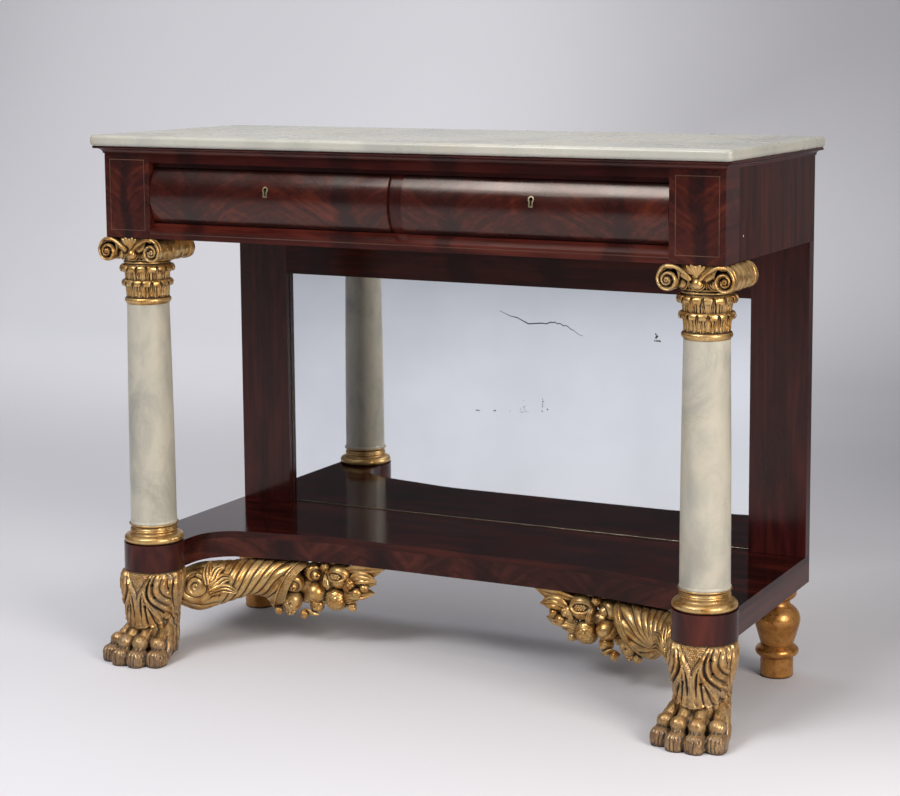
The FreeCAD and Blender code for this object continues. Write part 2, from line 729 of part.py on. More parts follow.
def bolster(side):
    """Side roll between a front and a back volute, ringed along its length."""
    d = VOLUTE_HALF_DEPTH
    disc = VOLUTE_DISC
    edge = 3.0
    bead = 9.0
    outline = [
        (0, -d),
        (VOLUTE_RADIUS - edge, -d),
        (VOLUTE_RADIUS, -d + edge),
        (VOLUTE_RADIUS, -d + disc),
        (BOLSTER_WAIST, -d + disc + edge),
        ((BOLSTER_RADIUS, -(d - disc + bead) / 2), (BOLSTER_WAIST, -bead)),
        ((BOLSTER_RADIUS, 0), (BOLSTER_WAIST, bead)),
        ((BOLSTER_RADIUS, (d - disc + bead) / 2), (BOLSTER_WAIST, d - disc - edge)),
        (VOLUTE_RADIUS, d - disc),
        (VOLUTE_RADIUS, d - edge),
        (VOLUTE_RADIUS - edge, d),
        (0, d),
    ]
    placed = flip_out(outline, lambda r, y: (r, y + COLUMN_Y))
    return turned_y(placed, COLUMN_X + side * VOLUTE_OFFSET, CASE_BOTTOM - VOLUTE_RADIUS)


def capital_volutes():
    """Ionic block: four volutes on two side rolls, an abacus and the round echinus below."""
    half_depth = VOLUTE_HALF_DEPTH - VOLUTE_DISC / 3
    abacus = box(COLUMN_X - VOLUTE_OFFSET, COLUMN_X + VOLUTE_OFFSET, COLUMN_Y - half_depth, COLUMN_Y + half_depth,
                 CASE_BOTTOM - ABACUS_HEIGHT, CASE_BOTTOM)
    low = VOLUTE_BOTTOM
    high = CASE_BOTTOM - ABACUS_HEIGHT
    echinus = turned([
        (0, low),
        (BELL_RADIUS + 3, low),
        ((ECHINUS_RADIUS - 1.5, (low + high) / 2), (ECHINUS_RADIUS, high)),
        (0, high),
    ], COLUMN_X, COLUMN_Y)
    block = fused([abacus, echinus, bolster(-1), bolster(1)])
    return block.cut(rod(ROD_CLEARANCE))


# ---------------------------------------------------------------- shelf

def front_curve(offset):
    """Right half of the concave shelf front, from the middle to the neck, moved back by offset."""
    neck = HALF_WIDTH - SHELF_NECK
    angle = math.radians(SWEEP_ANGLE)
    centre_x = neck - SWEEP_RADIUS
    centre_y = SHELF_SETBACK - SWEEP_RADIUS - SWEEP_RISE
    cos_a = math.cos(angle)
    sin_a = math.sin(angle)
    lift = SHELF_SETBACK - BEND_RADIUS - centre_y
    bend_x = centre_x + (SWEEP_RADIUS - BEND_RADIUS - lift * sin_a) / cos_a
    bend_y = SHELF_SETBACK - BEND_RADIUS

    def on_bend(turn):
        r = BEND_RADIUS + offset
        return (bend_x + r * math.cos(turn), bend_y + r * math.sin(turn))

    def on_sweep(turn):
        r = SWEEP_RADIUS + offset
        return (centre_x + r * math.cos(turn), centre_y + r * math.sin(turn))

    return [
        on_bend(math.pi / 2),
        (on_bend((math.pi / 2 + angle) / 2), on_bend(angle)),
        on_sweep(angle),
        (on_sweep(angle / 2), on_sweep(0)),
        (neck + offset, COLUMN_Y),
    ]


def mirror_path(path):
    """The same half curve on the left, in the opposite order."""
    points = []
    middles = []
    for item in path:
        if isinstance(item[0], tuple):
            middles.append(item[0])
            points.append(item[1])
        else:
            middles.append(None)
            points.append(item)
    result = [(-points[-1][0], points[-1][1])]
    for i in range(len(points) - 1, 0, -1):
        end = (-points[i - 1][0], points[i - 1][1])
        if middles[i]:
            result.append(((-middles[i][0], middles[i][1]), end))
        else:
            result.append(end)
    return result


def shelf_plan(offset, z0, z1):
    """Full-width prism of the shelf plan, its front curve moved back by offset."""
    right = front_curve(offset)
    outline = mirror_path(right) + right
    outline += [(HALF_WIDTH, COLUMN_Y), (HALF_WIDTH, CASE_DEPTH), (-HALF_WIDTH, CASE_DEPTH), (-HALF_WIDTH, COLUMN_Y)]
    return prism_z(outline, z0, z1)


def drum_blanks():
    """Full cylinders where the two drums stand in the shelf corners."""
    blank = post(COLUMN_X, COLUMN_Y, DRUM_RADIUS, FOOT_HEIGHT, SHELF_TOP)
    return [blank, mirrored(blank)]


def less(shape, cutters):
    """Cut every one of the cutters from the shape."""
    for cutter in cutters:
        shape = shape.cut(cutter)
    return shape


def shelf_board():
    return less(shelf_plan(0, SHELF_BOARD_BOTTOM, SHELF_TOP), drum_blanks())


def shelf_front_rail():
    """Rail along the concave front, under the board."""
    whole = shelf_plan(0, FOOT_HEIGHT, SHELF_BOARD_BOTTOM)
    rail = whole.cut(shelf_plan(BOARD, FOOT_HEIGHT, SHELF_BOARD_BOTTOM))
    return less(rail, drum_blanks())


def shelf_end():
    return less(box(END_INNER, HALF_WIDTH, COLUMN_Y, CASE_DEPTH, FOOT_HEIGHT, SHELF_BOARD_BOTTOM), drum_blanks())


def shelf_back_rail():
    return box(-END_INNER, END_INNER, BACK_INNER, CASE_DEPTH, FOOT_HEIGHT, SHELF_BOARD_BOTTOM)


def shelf_blocks():
    """Corner blocks in the shelf frame: behind each drum and over each rear foot."""
    rear = box(END_INNER - SHELF_BLOCK_WIDTH, END_INNER, BACK_INNER - SHELF_BLOCK_DEPTH, BACK_INNER,
               FOOT_HEIGHT, SHELF_BOARD_BOTTOM).cut(rear_dowel())
    neck = HALF_WIDTH - SHELF_NECK + BOARD
    front = box(neck, END_INNER, COLUMN_Y, COLUMN_Y + DRUM_RADIUS + SHELF_BLOCK_DEPTH / 2,
                FOOT_HEIGHT, SHELF_BOARD_BOTTOM)
    front = less(front, drum_blanks())
    return [rear, mirrored(rear), front, mirrored(front)]


# ---------------------------------------------------------------- mirror back

def screw_places():
    """Screws down both long edges of the backboard, as (x, z)."""
    x = PILASTER_INNER + BACKBOARD_LAP / 2
    low = SHELF_TOP + BACKBOARD_LAP
    high = CASE_BOTTOM - MIRROR_RAIL_HEIGHT
    step = (high - low) / (SCREW_ROWS - 1)
    places = []
    for side in (-1, 1):
        for i in range(SCREW_ROWS):
            places.append((side * x, low + i * step))
    return places


def screw(x, z):
    """Round-headed wood screw driven forwards from the back face."""
    shank = Part.makeCylinder(SCREW_RADIUS, SCREW_LENGTH, vec(x, CASE_DEPTH, z), vec(0, -1, 0))
    head = Part.makeCone(SCREW_HEAD_RADIUS, SCREW_RADIUS, SCREW_HEAD_DEPTH, vec(x, CASE_DEPTH, z), vec(0, -1, 0))
    return fused([shank, head])


def backboard_screws():
    return [screw(x, z) for x, z in screw_places()]


def glass_recess():
    """Rebate for the glass: from the glass plane to the back, lapped behind the frame."""
    half = PILASTER_INNER + GLASS_LAP
    return box(-half, half, GLASS_FRONT, CASE_DEPTH, SHELF_TOP, CASE_BOTTOM - MIRROR_RAIL_HEIGHT + GLASS_LAP)


def board_recess():
    """Wider, shallower rebate for the backboard."""
    half = PILASTER_INNER + BACKBOARD_LAP
    y0 = CASE_DEPTH - BACKBOARD_THICKNESS
    return box(-half, half, y0, CASE_DEPTH, SHELF_TOP, CASE_BOTTOM - MIRROR_RAIL_HEIGHT + BACKBOARD_LAP)


def pilaster():
    board = box(PILASTER_INNER, HALF_WIDTH, BACK_INNER, CASE_DEPTH, SHELF_TOP, CASE_BOTTOM)
    return less(board, [glass_recess(), board_recess()] + backboard_screws())


def mirror_rail():
    rail = box(-PILASTER_INNER, PILASTER_INNER, BACK_INNER, CASE_DEPTH, CASE_BOTTOM - MIRROR_RAIL_HEIGHT, CASE_BOTTOM)
    return less(rail, [glass_recess(), board_recess()])


def mirror_glass():
    half = PILASTER_INNER + GLASS_LAP
    return box(-half, half, GLASS_FRONT, GLASS_FRONT + GLASS_THICKNESS, SHELF_TOP,
               CASE_BOTTOM - MIRROR_RAIL_HEIGHT + GLASS_LAP)


def backboard():
    return less(board_recess(), backboard_screws())


# ---------------------------------------------------------------- feet

def front_dowel():
    return post(COLUMN_X, COLUMN_Y, DOWEL_RADIUS, FOOT_HEIGHT - DOWEL_BITE, SHELF_TOP - 2 * ROD_BITE)


def rear_dowel():
    return post(REAR_FOOT_X, REAR_FOOT_Y, DOWEL_RADIUS, FOOT_HEIGHT - DOWEL_BITE, FOOT_HEIGHT + DOWEL_BITE)


def foot_dowels():
    front = front_dowel()
    rear = rear_dowel()
    return [front, mirrored(front), rear, mirrored(rear)]


def leg_form():
    """Leaf-wrapped leg from the drum down to the pad of the paw."""
    r = DRUM_RADIUS
    sections = [
        (1.00, r, r, 0),
        (0.93, r + 2, r + 1, 0),
        (0.80, r + 6, r + 4, -2),
        (0.62, r + 2, r + 2, -3),
        (0.42, r - 7, r - 3, -4),
        (0.30, r - 13, r - 11, -4),
        (0.18, r - 10, r - 8, -8),
        (0.00, r - 9, r - 10, -10),
    ]
    wires = []
    for share, half_width, half_depth, forward in sections:
        centre = vec(COLUMN_X, COLUMN_Y + forward, FOOT_HEIGHT * share)
        wires.append(ring_curve(centre, vec(1, 0, 0), vec(0, 1, 0), half_width, half_depth))
    return Part.makeLoft(wires, True, False)


def toe(x, tip):
    """One toe: a rounded bar on the floor, and the knuckle that rises behind it."""
    r = TOE_RADIUS
    bend = r * (1 - math.sqrt(0.5))
    bar = turned_y([
        (0, COLUMN_Y),
        (r, COLUMN_Y),
        (r, tip + r),
        ((r - bend, tip + bend), (0, tip)),
    ], x, r - TOE_FLAT)
    knuckle = Part.makeSphere(KNUCKLE_RADIUS, vec(x, tip + KNUCKLE_SETBACK, KNUCKLE_HEIGHT))
    return [bar, knuckle]


def paw_foot():
    """Carved front foot: leg and a paw with four toes, pointing straight forwards."""
    pieces = [leg_form()]
    for step in (-1.5, -0.5, 0.5, 1.5):
        short = TOE_OUTER_SHORTER if abs(step) > 1 else 0.0
        pieces += toe(COLUMN_X + step * TOE_SPACING, -PAW_REACH + short)
    under = box(0, CASE_WIDTH, -CASE_DEPTH, CASE_DEPTH, -FOOT_HEIGHT, 0)
    return fused(pieces).cut(under).cut(front_dowel())


def rear_foot():
    """Turned foot: cylinder, ring, vase, neck and collar."""
    h = FOOT_HEIGHT
    r = REAR_FOOT_RADIUS
    return turned([
        (0, 0),
        (r * 0.67, 0),
        ((r * 0.71, h * 0.012), (r * 0.725, h * 0.04)),
        (r * 0.725, h * 0.22),
        (r * 0.835, h * 0.235),
        ((r * 0.96, h * 0.28), (r * 0.835, h * 0.33)),
        (r * 0.71, h * 0.35),
        ((r * 0.85, h * 0.46), (r * 0.975, h * 0.57)),
        ((r, h * 0.66), (r * 0.76, h * 0.755)),
        (r * 0.70, h * 0.77),
        ((r * 0.56, h * 0.81), (r * 0.595, h * 0.85)),
        ((r * 0.81, h * 0.89), (r * 0.835, h * 0.95)),
        (r * 0.835, h),
        (0, h),
    ], REAR_FOOT_X, REAR_FOOT_Y).cut(rear_dowel())


# ---------------------------------------------------------------- cornucopias

def horn_sections():
    """(x in from the leg, y back from it, z below the shelf, radius) along the horn, as shares of its reach."""
    return [
        (0.038, 0.102, 0.134, 0.070),
        (0.113, 0.193, 0.139, 0.115),
        (0.177, 0.236, 0.123, 0.113),
        (0.252, 0.290, 0.110, 0.102),
        (0.332, 0.349, 0.099, 0.090),
        (0.405, 0.402, 0.107, 0.101),
        (0.477, 0.434, 0.135, 0.130),
    ]


def heap_sections():
    """The same for the core of the heap of fruit, from the mouth to the leaf tips."""
    return [
        (0.472, 0.434, 0.134, 0.102),
        (0.603, 0.453, 0.134, 0.094),
        (0.764, 0.461, 0.123, 0.080),
        (0.890, 0.461, 0.080, 0.054),
        (1.000, 0.458, 0.027, 0.016),
    ]


def fruits():
    """The same for the round fruits."""
    return [
        (0.531, 0.424, 0.217, 0.054),
        (0.542, 0.424, 0.118, 0.054),
        (0.614, 0.461, 0.067, 0.059),
        (0.641, 0.434, 0.166, 0.054),
        (0.643, 0.440, 0.236, 0.040),
        (0.764, 0.461, 0.075, 0.067),
        (0.743, 0.456, 0.190, 0.062),
        (0.885, 0.456, 0.129, 0.048),
    ]


def horn_point(row):
    return vec(COLUMN_X - row[0] * HORN_REACH, COLUMN_Y + row[1] * HORN_REACH, FOOT_HEIGHT - row[2] * HORN_REACH)


def swept_round(rows):
    """Smooth loft through circles that stand square to the line of their centres."""
    centres = [horn_point(row) for row in rows]
    last = len(rows) - 1
    wires = []
    for i, row in enumerate(rows):
        heading = centres[min(i + 1, last)] - centres[max(i - 1, 0)]
        heading.z = 0
        heading.normalize()
        across = vec(-heading.y, heading.x, 0)
        radius = row[3] * HORN_REACH
        wires.append(ring_curve(centres[i], across, vec(0, 0, 1), radius, radius))
    return Part.makeLoft(wires, True, False)


def cornucopia():
    """Horn from the leg to its mouth, with the heap of fruit that spills from it."""
    pieces = [swept_round(horn_sections()), swept_round(heap_sections())]
    for row in fruits():
        pieces.append(Part.makeSphere(row[3] * HORN_REACH, horn_point(row)))
    return fused(pieces).cut(leg_form())


# ---------------------------------------------------------------- build

def build():
    os.makedirs("parts", exist_ok=True)
    save("marble_top", marble_top())
    save("cornice_front", cornice_front())
    save_pair("cornice", cornice_side())
    save("marble_bearers", *marble_bearers())
    save_pair("case_end", case_end())
    save("case_back", case_back())
    save("dust_board", dust_board())
    save("top_rail", top_rail())
    save("bottom_rail", bottom_rail())
    save_pair("corner_block", corner_block())
    save("stringing", line_frame(), mirrored(line_frame()), rail_line())
    save("drawer_divider", drawer_divider())
    save("drawer_runners", *drawer_runners())
    save("drawer_kickers", *drawer_kickers())
    save("drawer_stops", *drawer_stops())
    save_drawer("right", lambda shape: shape)
    save_drawer("left", mirrored)
    save_pair("capital_volutes", capital_volutes())
    save_pair("capital_bell", capital_bell())
    save_pair("column_shaft", column_shaft())
    save_pair("column_base", column_base())
    save_pair("drum", drum())
    save("column_rods", rod(), mirrored(rod()))
    save("shelf_board", shelf_board())
    save("shelf_front_rail", shelf_front_rail())
    save_pair("shelf_end", shelf_end())
    save("shelf_back_rail", shelf_back_rail())
    save("shelf_blocks", *shelf_blocks())
    save_pair("pilaster", pilaster())
    save("mirror_rail", mirror_rail())
    save("mirror_glass", mirror_glass())
    save("backboard", backboard())
    save("backboard_screws", *backboard_screws())
    save_pair("paw_foot", paw_foot())
    save_pair("cornucopia", cornucopia())
    save_pair("rear_foot", rear_foot())
    save("foot_dowels", *foot_dowels())


build()
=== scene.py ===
import math

import bpy
import numpy as np
from mathutils import Matrix, Vector

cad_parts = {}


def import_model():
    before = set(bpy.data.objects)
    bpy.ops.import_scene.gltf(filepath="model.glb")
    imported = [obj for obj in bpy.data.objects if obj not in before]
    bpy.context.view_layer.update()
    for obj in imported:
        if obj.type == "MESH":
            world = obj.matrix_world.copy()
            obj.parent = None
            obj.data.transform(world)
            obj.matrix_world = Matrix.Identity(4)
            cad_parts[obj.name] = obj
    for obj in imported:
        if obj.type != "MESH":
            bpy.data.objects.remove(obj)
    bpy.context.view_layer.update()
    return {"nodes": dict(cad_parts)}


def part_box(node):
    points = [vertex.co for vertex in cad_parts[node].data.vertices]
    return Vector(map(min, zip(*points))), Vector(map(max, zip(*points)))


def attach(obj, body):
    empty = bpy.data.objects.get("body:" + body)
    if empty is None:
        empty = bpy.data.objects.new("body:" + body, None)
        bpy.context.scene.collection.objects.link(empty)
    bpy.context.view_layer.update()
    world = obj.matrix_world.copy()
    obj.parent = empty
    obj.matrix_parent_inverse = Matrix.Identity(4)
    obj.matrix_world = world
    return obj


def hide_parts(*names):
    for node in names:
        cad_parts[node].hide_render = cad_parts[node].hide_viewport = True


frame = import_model()
nodes = frame["nodes"]

MM = 0.001
TAU = 2 * math.pi
# The column axis on the right, and the level at which the legs and horns meet the shelf, in mm.
COLUMN_X, COLUMN_Y = 529.0, -143.5
SHELF_UNDERSIDE = 162.0


# ---------------------------------------------------------------- shader helpers

class Value:
    """A node's output that can be used in sums."""

    def __init__(self, graph, socket):
        self.graph, self.socket = graph, socket

    def __add__(self, other):
        return self.graph.math("ADD", self, other)

    def __sub__(self, other):
        return self.graph.math("SUBTRACT", self, other)

    def __mul__(self, other):
        return self.graph.math("MULTIPLY", self, other)

    def __or__(self, other):
        """The greater of the two."""
        return self.graph.math("MAXIMUM", self, other)

    def __abs__(self):
        return self.graph.math("ABSOLUTE", self)


class Graph:
    """A node material under construction. Colours are sRGB triples in 0..255, or linear with alpha."""

    def __init__(self, name):
        self.material = bpy.data.materials.new(name)
        self.material.use_nodes = True
        self.tree = self.material.node_tree
        self.tree.nodes.clear()
        self.shader = self.node("BsdfPrincipled")
        self.node("OutputMaterial", {"Surface": Value(self, self.shader.outputs[0])})

    def node(self, kind, inputs=None, **settings):
        made = self.tree.nodes.new("ShaderNode" + kind)
        for key, value in settings.items():
            setattr(made, key, value)
        for key, value in (inputs or {}).items():
            self.feed(made.inputs[key], value)
        return made

    def value(self, output, kind, inputs=None, **settings):
        return Value(self, self.node(kind, inputs, **settings).outputs[output])

    def feed(self, socket, value):
        if isinstance(value, Value):
            self.tree.links.new(value.socket, socket)
        elif socket.type == "RGBA" and len(value) == 3:
            socket.default_value = srgb(value)
        else:
            socket.default_value = value

    def object_coords(self):
        return self.value("Object", "TexCoord")

    def axes(self, vector):
        split = self.node("SeparateXYZ", {"Vector": vector})
        return [Value(self, output) for output in split.outputs]

    def mapped(self, vector, scale=(1, 1, 1), turn=(0, 0, 0), move=(0, 0, 0)):
        return self.value(0, "Mapping", {"Vector": vector, "Scale": scale, "Rotation": turn, "Location": move})

    def noise(self, vector, scale, detail=4.0, rough=0.55, warp=0.0):
        """Noise at one scale, or at a scale for each axis."""
        if isinstance(scale, tuple):
            vector, scale = self.mapped(vector, scale), 1.0
        return self.value("Fac", "TexNoise", {"Vector": vector, "Scale": scale, "Detail": detail,
                                              "Roughness": rough, "Distortion": warp})

    def math(self, kind, a, b=0.0, clamp=False):
        return self.value(0, "Math", {0: a, 1: b}, operation=kind, use_clamp=clamp)

    def span(self, value, low, high, to_low=0.0, to_high=1.0):
        """Map low..high to to_low..to_high, clamped and smooth."""
        return self.value("Result", "MapRange", {"Value": value, "From Min": low, "From Max": high,
                                                 "To Min": to_low, "To Max": to_high},
                          interpolation_type="SMOOTHSTEP")

    def mix(self, factor, a, b):
        return self.value(2, "Mix", {0: factor, 6: a, 7: b}, data_type="RGBA")

    def ramp(self, factor, places, colours):
        made = self.node("ValToRGB", {"Fac": factor})
        line = made.color_ramp.elements
        line[0].position, line[0].color = places[0], srgb(colours[0])
        line[1].position, line[1].color = places[-1], srgb(colours[-1])
        for place, colour in list(zip(places, colours))[1:-1]:
            line.new(place).color = srgb(colour)
        return Value(self, made.outputs["Color"])

    def bars(self, x, places, half):
        """Soft upright bands at the given x, in mm, with a half width in mm."""
        found = 0.0
        for place in places:
            found = self.span(abs(x - place * MM), half * 0.25 * MM, half * MM, 1, 0) | found
        return found

    def marks(self, vector, places):
        """Soft-edged dots: 1 within the radius of any of the places, given in mm."""
        found = 0.0
        for x, y, z, radius in places:
            away = self.value("Value", "VectorMath", {0: vector, 1: (x * MM, y * MM, z * MM)}, operation="DISTANCE")
            found = self.span(away, radius * 0.6 * MM, radius * 1.2 * MM, 1, 0) | found
        return found

    def bump(self, height, strength, distance, under=None):
        """Normal of a height, over another bump if there is one."""
        inputs = {"Height": height, "Strength": strength, "Distance": distance}
        if under:
            inputs["Normal"] = under
        return self.value("Normal", "Bump", inputs)

    def finish(self, **sockets):
        for key, value in sockets.items():
            self.feed(self.shader.inputs[key.replace("_", " ")], value)
        return self.material


def srgb(triple):
    """Linear colour of an sRGB triple in 0..255."""
    share = [value / 255 for value in triple]
    return (*(v / 12.92 if v <= 0.04045 else ((v + 0.055) / 1.055) ** 2.4 for v in share), 1.0)


# ---------------------------------------------------------------- materials

AXIS_TURN = {"x": (0, 0, 0), "y": (0, 0, math.pi / 2), "z": (0, math.pi / 2, 0)}
WAX = (255, 241, 231)              # old shellac and wax warm what the wood reflects
# Painted shade: the near-black inside a nail hole, which is not cut into the wood.
NAIL_HOLE_SHADE = (0.002, 0.001, 0.001, 1)   # inside of a nail hole
PORE_SPAN = (0.56, 0.72)           # noise levels between which a pore darkens
FIBRE_BUMP = 0.0002                # height of pores, scratches and grit, in m
# Bookmatched veneer: dark seams of the sheets across the front, symmetric about the middle, in mm.
FRONT_SEAMS = [-398, -96, 96, 398]
SHELF_SEAMS = [-340, -150, 60, 290]
# Lowest and highest level of the drawer fronts, and how far painted shade reaches in from them.
FRONT_EDGES = (*(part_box("drawer_front_left")[k][2] for k in (0, 1)), 0.011)


def wood(name, along, pale, mid, dark, gloss=0.16, seed=0.0, seams=(), shine=0.32, marks=(), mark_colour=NAIL_HOLE_SHADE,
         stripes=0.55):
    """Polished wood with its grain along one axis: streaks, broad figure, pores and ripple."""
    g = Graph(name)
    place = g.object_coords()
    p = g.mapped(place, turn=AXIS_TURN[along], move=(seed, seed * 0.7, seed * 1.3))
    streak = g.noise(p, (3.5, 70, 70), 5.0, 0.6, 0.6)
    cloud = g.noise(p, (5.0, 16, 16), 4.0, 0.55, 1.2)
    pores = g.noise(p, (60, 1500, 1500), 2.0, 0.6)
    colour = g.ramp(g.span(streak * stripes + cloud * (1 - stripes), 0.28, 0.70), (0, 0.5, 1), (dark, mid, pale))
    if seams:
        x = g.axes(place)[0] + (g.noise(place, 14.0, 3.0) - 0.5) * 0.06
        colour = g.mix(g.bars(x, seams, 34.0) * 0.7, colour, dark)
    colour = g.mix(g.span(pores, *PORE_SPAN, 0, 0.35), colour, dark)
    if marks:
        colour = g.mix(g.marks(place, marks), colour, mark_colour)
    rough = g.span(g.noise(p, 9.0, 3.0), 0.3, 0.7, gloss * 0.8, gloss * 1.35)
    normal = g.bump(g.noise(p, (6, 30, 30), 2.0), 0.10, 0.002, g.bump(pores, 0.10, FIBRE_BUMP))
    return g.finish(Base_Color=colour, Roughness=rough, Normal=normal, Specular_IOR_Level=shine, Specular_Tint=WAX)


def flame(name, colours, seams, seed=0.0, shine=0.34, sheet=302.0, half=26.0, contrast=1.0, edges=None):
    """Flame mahogany: soft feathered arcs that rise from the dark seams of bookmatched sheets."""
    g = Graph(name)
    place = g.object_coords()
    p = g.mapped(place, move=(seed, 0, 0))
    x, _, z = g.axes(place)
    x = x + (g.noise(p, (9, 9, 16), 3.0) - 0.5) * 0.05
    reach = abs(g.math("SUBTRACT", sheet / 2 * MM, abs(abs(x) - (seams[-1] - sheet / 2) * MM)))
    rise = z - g.math("POWER", reach, 0.7) * 0.34
    lines = g.noise(g.value(0, "CombineXYZ", {"X": rise * 50.0, "Y": reach * 7.0, "Z": seed}), 1.0, 4.0, 0.55, 0.8)
    cloud = g.noise(p, (8, 8, 11), 4.0, 0.6, 1.4)
    fibre = g.noise(p, (60, 60, 170), 3.0, 0.6)
    tone = lines * (0.50 * contrast) + cloud * 0.36 + fibre * 0.14
    colour = g.ramp(g.span(tone, 0.30, 0.70), (0, 0.35, 0.7, 1), colours)
    ragged = g.span(g.noise(p, (30, 30, 8), 3.0, 0.6), 0.30, 0.62, 0.5, 1)
    colour = g.mix(g.bars(x, seams, half) * (ragged * 0.88), colour, (26, 12, 14))
    pores = g.noise(p, (700, 700, 160), 2.0, 0.6)
    colour = g.mix(g.span(pores, *PORE_SPAN, 0, 0.3), colour, (24, 8, 7))
    if edges:
        low, high, reach_in = edges
        # Painted shade: the wood darkens towards the top and bottom edges of the drawer fronts.
        edge_shade = g.span(z, low, low + reach_in, 0.92, 0) | g.span(z, high - reach_in, high, 0, 0.92)
        colour = g.mix(edge_shade, colour, (22, 6, 6))
    gloss = 0.19
    rough = g.span(g.noise(p, 9.0, 3.0), 0.3, 0.7, gloss * 0.8, gloss * 1.3)
    normal = g.bump(g.noise(p, (10, 10, 14), 1.0), 0.012, 0.002, g.bump(pores, 0.08, FIBRE_BUMP))
    return g.finish(Base_Color=colour, Roughness=rough, Normal=normal, Specular_IOR_Level=shine, Specular_Tint=WAX)


def marble(name, base, vein, scale, amount, gloss=0.3):
    """Pale marble: soft grey clouds, a few faint drawn-out veins, warm stains and fine pits."""
    g = Graph(name)
    p = g.object_coords()
    drift = g.mapped(p, scale=(1.0, 1.0, 0.55), turn=(0.35, 0.5, 0.2))
    cloud = g.noise(drift, scale, 5.0, 0.58, 0.9)
    fine = abs(g.noise(drift, scale * 1.4, 5.0, 0.6, 1.6) - 0.5)
    where = g.noise(p, scale * 0.7, 2.0, 0.5)
    colour = g.mix(g.span(cloud, 0.40, 0.72, 0, amount), base, vein)
    colour = g.mix(g.span(fine, 0, 0.022, amount * 0.30, 0) * g.span(where, 0.48, 0.62), colour, vein)
    colour = g.mix(g.span(g.noise(p, 7.0, 4.0, 0.6), 0.48, 0.75, 0, 0.30), colour, (188, 170, 136))
    rough = g.span(g.noise(p, 20.0, 4.0), 0.3, 0.7, gloss * 0.8, gloss * 1.4)
    normal = g.bump(g.noise(p, 900.0, 2.0), 0.06, FIBRE_BUMP, g.bump(g.noise(p, 40.0, 3.0), 0.05, 0.0010))
    return g.finish(Base_Color=colour, Roughness=rough, Normal=normal, Subsurface_Weight=0.08,
                    Subsurface_Radius=(0.006, 0.005, 0.004))


def gilding(name, bright, mid, bole, wear=0.5, dull=0.0, scuffed=0.0, dirt_and_shade_reach=0.008):
    """Water gilding over dark bole: bright on the ridges, rubbed in patches, and dark brown in the hollows from dirt
    and painted shade.
    """
    g = Graph(name)
    p = g.object_coords()
    hollow = g.value("AO", "AmbientOcclusion", {"Distance": dirt_and_shade_reach}, samples=6)
    cavity = g.value("Fac", "Attribute", attribute_name="cavity")
    patch = g.noise(p, 38.0, 5.0, 0.65)
    speck = g.noise(p, 260.0, 3.0, 0.6)
    # Dirt and painted shade: occluded and sunk places darken towards a near-black brown, and grow duller.
    deep = g.span(hollow, 0.38, 0.94, 1, 0) | g.span(cavity, 0.02, 0.75)
    rub = g.span(patch + speck * 0.35, 0.60, 0.84, 0, wear)
    if scuffed:
        low = g.span(g.axes(p)[2] + patch * 0.03, scuffed * 0.6, scuffed * 1.3, 1, 0)
        scratch = g.noise(p, (420, 420, 70), 4.0, 0.7)
        rub = rub | low * g.span(scratch, 0.40, 0.60, 0.30, 1)
    colour = g.mix(rub, g.mix(g.span(patch, 0.35, 0.65), mid, bright), bole)
    colour = g.mix(deep * 0.95, colour, (*(c * 0.26 for c in srgb(bole)[:3]), 1))
    metallic = g.math("SUBTRACT", 0.92 - dull, rub * 0.75 + deep * 0.6, clamp=True)
    rough = g.span(speck, 0.3, 0.7, 0.25, 0.42) + deep * 0.35
    normal = g.bump(patch, 0.22, 0.0016, g.bump(speck, 0.20, 0.0004))
    return g.finish(Base_Color=colour, Metallic=metallic, Roughness=rough, Normal=normal)


def old_mirror(name, marks):
    """Old plate: clear silver with a slight grey veil and a few small spots."""
    g = Graph(name)
    p = g.object_coords()
    speck = g.value("Distance", "TexVoronoi", {"Vector": p, "Scale": 26.0})
    spot = g.span(speck, 0.010, 0.026, 0.7, 0) * g.span(g.noise(p, 9.0, 2.0), 0.60, 0.66) | g.marks(p, marks)
    colour = g.mix(g.span(g.noise(p, 5.0, 3.0), 0.3, 0.7), (216, 220, 224), (224, 228, 232))
    return g.finish(Base_Color=g.mix(spot, colour, (72, 68, 66)), Metallic=1.0, Roughness=spot * 0.4 + 0.02,
                    Normal=g.bump(g.noise(p, 4.0, 1.0), 0.05, 0.0006))


def metal(name, pale, dark, rough_low, rough_high):
    """Old metal: tarnish in patches and fine scratches."""
    g = Graph(name)
    p = g.object_coords()
    tarnish = g.noise(p, 120.0, 5.0, 0.65)
    return g.finish(Base_Color=g.mix(g.span(tarnish, 0.35, 0.7), pale, dark), Metallic=0.95,
                    Roughness=g.span(tarnish, 0.3, 0.7, rough_low, rough_high),
                    Normal=g.bump(g.noise(p, (60, 60, 900), 2.0), 0.12, FIBRE_BUMP))


